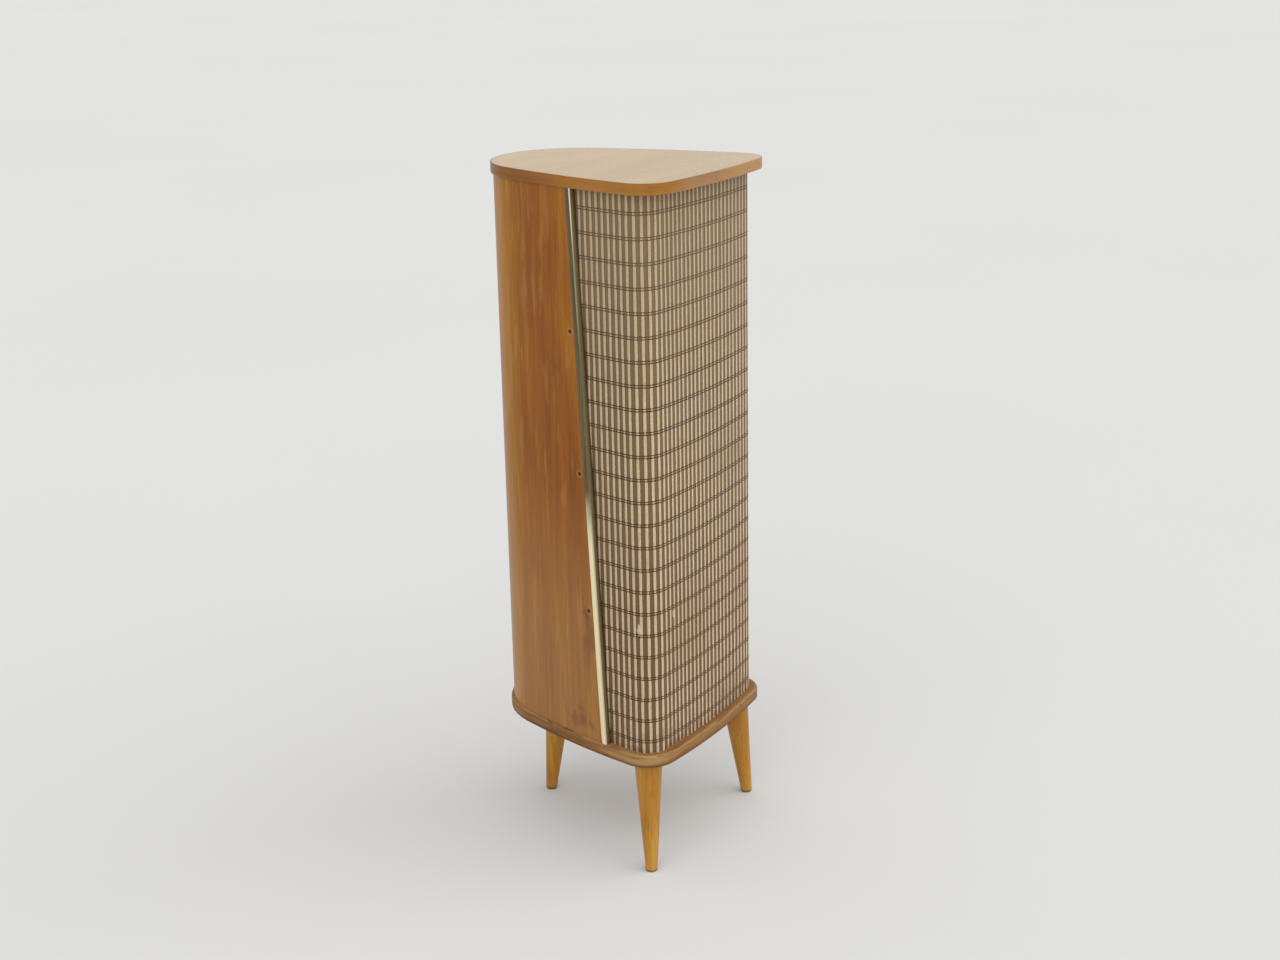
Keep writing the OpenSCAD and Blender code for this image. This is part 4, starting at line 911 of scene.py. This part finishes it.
def cloth_surface():
    """Places of the cloth's grid of points in mm, and their flat coordinates."""
    rng = random.Random(7)
    flat, z = cloth_rows()
    from_row = np.abs(((flat / ROW + HALF_ON) % 1.0 - 0.5) * ROW)
    cell = np.floor(flat / ROW).astype(int) - ROWS[0]
    pinch = np.exp(-(from_row / PINCH_REACH) ** 2)[None, :]
    thread = np.sqrt(np.clip(1 - (np.abs(from_row - THREAD_OFF) / THREAD_R) ** 2, 0, None))[None, :]
    across, rise = (np.tile(values, len(RIBS))[:, None] for values in zip(*RIB_PROFILE))
    rib = np.repeat(np.arange(len(RIBS)), len(RIB_PROFILE))
    n = (rib + RIBS[0])[:, None] + across
    cells = int(cell.max()) + 1
    tall = np.array([[rng.uniform(RIB_SHORT, 1.0) for _ in range(cells)] for _ in RIBS])
    lean = np.array([[rng.uniform(-RIB_LEAN, RIB_LEAN) for _ in range(cells)] for _ in RIBS])
    on_rib = rise > 0.05
    narrow = np.where(on_rib, -PINCH_WIDTH * across, 0.0) * pinch
    drift = lean[rib][:, cell] * on_rib * (1 - pinch)
    arc = rib_place(n + narrow + drift)
    raised = RIB_RISE * rise * tall[rib][:, cell] * (1 - PINCH_RISE * pinch) + THREAD_RISE * thread
    out = CLOTH_FACE - GROUND_DEPTH + raised
    lookup = np.linspace(-TABLE_REACH, TABLE_REACH, 2 * TABLE_REACH * TABLE_FINE + 1)
    table = [trail(u) for u in lookup]
    points = np.empty((*arc.shape, 3))
    for axis in (0, 1):
        place = np.interp(arc, lookup, [point[axis] for point, _ in table])
        points[..., axis] = place + out * np.interp(arc, lookup, [normal[axis] for _, normal in table])
    points[..., 2] = z[None, :]
    uv = np.stack(np.broadcast_arrays(n * RIB, flat[None, :]), axis=-1)
    return points, uv


def cloth():
    """Sheet with raised ribs, pinched where pairs of threads cross them, cut along the two tucked edges."""
    points, uv = cloth_surface()
    rows, cols = points.shape[:2]
    idx = np.arange(rows * cols).reshape(rows, cols)
    quads = np.stack([idx[:-1, :-1], idx[1:, :-1], idx[1:, 1:], idx[:-1, 1:]], axis=-1).reshape(-1, 4)
    mesh = bpy.data.meshes.new("cloth")
    mesh.vertices.add(rows * cols)
    mesh.vertices.foreach_set("co", points.reshape(-1) * MM)
    mesh.loops.add(quads.size)
    mesh.loops.foreach_set("vertex_index", quads.reshape(-1).astype(np.int32))
    mesh.polygons.add(len(quads))
    mesh.polygons.foreach_set("loop_start", np.arange(0, quads.size, 4, dtype=np.int32))
    mesh.update(calc_edges=True)
    finish_mesh(mesh, uv.reshape(-1, 2) * MM)
    bm = bmesh.new()
    bm.from_mesh(mesh)
    slope = (EDGE_TOP - EDGE_BOTTOM) / (Z_HIGH - Z_LOW)
    bmesh.ops.bisect_plane(bm, geom=bm.verts[:] + bm.edges[:] + bm.faces[:], dist=1e-7,
                           plane_co=(0, (edge_y(Z_LOW) + CLOTH_TUCK) * MM, Z_LOW * MM),
                           plane_no=(0, 1, -slope), clear_outer=True)
    bm.to_mesh(mesh)
    bm.free()
    mesh.polygons.foreach_set("use_smooth", [True] * len(mesh.polygons))
    mesh.update()
    return add_object("cloth", mesh)


grille = settle(cloth(), [MAT["grille_cloth"]], "grille_cloth", "grille_cloth")


# Wadding inside the back
PAD_CELLS = 90
# Distance of the pad from the shell, its thickness at the rim and how much thicker it is in its middle, in mm
PAD_GAP, PAD_RIM, PAD_CROWN = 0.4, 0.8, 10.4
# Inset of the pad from its CAD box's ends and from the shell, in mm, and the share of its arc that it takes
PAD_INSET, PAD_SHARE = 1.0, 0.985


def pad_crown(s, z, across, up):
    """Rise of the pad's quilted, slightly lumpy side; across and up are shares of its width and height."""
    near_edge = min(1.0, 7.0 * min(across, 1 - across), 9.0 * min(up, 1 - up))
    dome = math.sqrt(max(0.0, 1 - (1 - near_edge) ** 2))
    lump = 0.9 * math.sin(s * 0.11 + 1.3 * math.sin(z * 0.05)) * math.sin(z * 0.083 + 0.7)
    return dome * (PAD_CROWN + lump)


def wadding():
    """Pad against the inside of the shell."""
    lo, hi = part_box("damping_felt")
    bottom, height = lo[2] / MM + PAD_INSET, (hi[2] - lo[2]) / MM - 2 * PAD_INSET
    reach = back_reach(lo[1] / MM, SIDE_R - SHELL_T - PAD_INSET)
    verts = []
    for quilted in (False, True):
        for r in range(PAD_CELLS + 1):
            up = r / PAD_CELLS
            z = bottom + height * up
            for c in range(PAD_CELLS + 1):
                across = c / PAD_CELLS
                s = reach * PAD_SHARE * (1 - 2 * across)
                depth = SHELL_T + GAP + PAD_GAP
                if quilted:
                    depth += PAD_RIM + pad_crown(s, z, across, up)
                p, normal = round_back(s)
                q = p - depth * normal
                verts.append((q[0], q[1], z))
    return make_object("wadding", verts, slab_faces(PAD_CELLS + 1, PAD_CELLS + 1), smooth=60)


pad = settle(wadding(), [MAT["felt"]], "felt", "damping_felt")


# Base board
# A face is level where its normal's z is over LEVEL; a step in arc length over SEAM_STEP mm crosses the seam
LEVEL, SEAM_STEP = 0.99, 300.0


def base_board():
    """The CAD's base with one material on its level faces and one on its edge, whose grain runs round it."""
    obj = refined("base_plate", "base_board", angle=38)
    line = np.array([p for p, _ in BODY.closed()])
    arcs = np.concatenate([[0.0], np.cumsum(np.linalg.norm(np.diff(line, axis=0), axis=1))])
    all_round = arcs[-1] + np.linalg.norm(line[-1] - line[0])
    arcs = np.where(line[:, 0] < 0, arcs - all_round, arcs)
    seam = arcs.max() - arcs.min()

    def arc_at(point):
        return arcs[np.argmin(np.linalg.norm(line - np.array(point[:2]) / MM, axis=1))]

    flat = obj.data.uv_layers.new(name="flat")
    for poly in obj.data.polygons:
        level = abs(poly.normal.z) > LEVEL
        poly.material_index = 0 if level else 1
        poly.use_smooth = not level
        middle = arc_at(poly.center)
        for loop in poly.loop_indices:
            place = obj.data.vertices[obj.data.loops[loop].vertex_index].co
            arc = arc_at(place)
            if abs(arc - middle) > SEAM_STEP:
                arc += math.copysign(seam, middle - arc)
            flat.data[loop].uv = (arc * MM, place.z)
    return obj


settle(base_board(), [MAT["base_face"], MAT["base_edge"]], "board_veneer", "base_plate")

# Drivers and the other CAD nodes
SLOT_OF = {row["node"]: row["material_slot"] for row in frame["record"]["subparts"]}


def flexing(node):
    """A smooth copy of a driver's flexible piece, with its material, standing in for its CAD node."""
    obj = refined(node, node + "_flexible", angle=50)
    obj.data.materials.clear()
    obj.data.materials.append(MAT[SLOT_OF[node]])
    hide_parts(node)
    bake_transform(obj)


for driver in ("woofer", "tweeter"):
    flexing(driver + "_spider")
    flexing(driver + "_surround")
    flexing(driver + "_tail_wires")

for name, obj in frame["nodes"].items():
    if obj.hide_render:
        continue
    obj.data.materials.clear()
    obj.data.materials.append(MAT[SLOT_OF[name]])


# Floor, light and camera
def stage_material():
    """Pale floor that can't be seen from below."""
    g = Graph("pale floor", Roughness=0.9, Specular_IOR_Level=0.1)
    g.out(g.mix(g.noise(0.6, 2.0), srgb(210, 210, 209), srgb(214, 214, 213)))
    under = g.node("ShaderNodeNewGeometry").outputs["Backfacing"]
    clear = g.node("ShaderNodeBsdfTransparent").outputs[0]
    sides = g.node("ShaderNodeMixShader", {0: under, 1: g.shader.outputs[0], 2: clear})
    g.put(g.tree.nodes["Material Output"].inputs["Surface"], sides.outputs[0])
    return g.mat


FLOOR_R = 30.0
bm = bmesh.new()
bmesh.ops.create_circle(bm, cap_ends=True, radius=FLOOR_R, segments=96)
floor = add_object("floor", mesh_of(bm, "floor"))
floor.data.materials.append(stage_material())

LAMP_AIM = Vector((0, 0, 0.3))


def sun(name, strength, place, softness):
    """Sunlight from a place towards the object; softness is the angle in degrees that the sun fills."""
    data = bpy.data.lights.new(name, "SUN")
    data.energy = strength
    data.angle = math.radians(softness)
    obj = add_object(name, data)
    obj.location = place
    obj.rotation_euler = (LAMP_AIM - Vector(place)).to_track_quat("-Z", "Y").to_euler()


sun("key", 0.75, (-3.0, -0.9, 3.4), 60)
sun("fill", 1.15, (0.9, -3.0, 2.6), 70)

WORLD_STRENGTH = 0.78
world = bpy.data.worlds.new("studio")
world.use_nodes = True
world.node_tree.nodes["Background"].inputs["Color"].default_value = (1.0, 1.0, 1.0, 1.0)
world.node_tree.nodes["Background"].inputs["Strength"].default_value = WORLD_STRENGTH
bpy.context.scene.world = world
bpy.context.scene.view_settings.view_transform = "Standard"

# The photograph's camera, as fitted to it: angles, place in m, lens and sensor in mm, and shift
YAW, PITCH, ROLL = (math.radians(a) for a in (59.2529, 16.2264, -0.6693))
CAMERA_PLACE = (-1.75924, -1.149364, 1.103171)
LENS, SENSOR, SHIFT = 52.228, 36.0, (-0.04, -0.04)
forward = Vector((math.sin(YAW) * math.cos(PITCH), math.cos(YAW) * math.cos(PITCH), -math.sin(PITCH)))
level_right = Vector((math.cos(YAW), -math.sin(YAW), 0.0))
level_up = level_right.cross(forward)
right = level_right * math.cos(ROLL) + level_up * math.sin(ROLL)
up = level_up * math.cos(ROLL) - level_right * math.sin(ROLL)
camera_data = bpy.data.cameras.new("camera")
camera_data.lens = LENS
camera_data.sensor_width = SENSOR
camera_data.shift_x, camera_data.shift_y = SHIFT
camera_data.clip_end = 100.0
camera = add_object("camera", camera_data)
camera.matrix_world = (Matrix.Translation(CAMERA_PLACE)
                       @ Matrix((right, up, -forward)).transposed().to_4x4())
bpy.context.scene.camera = camera
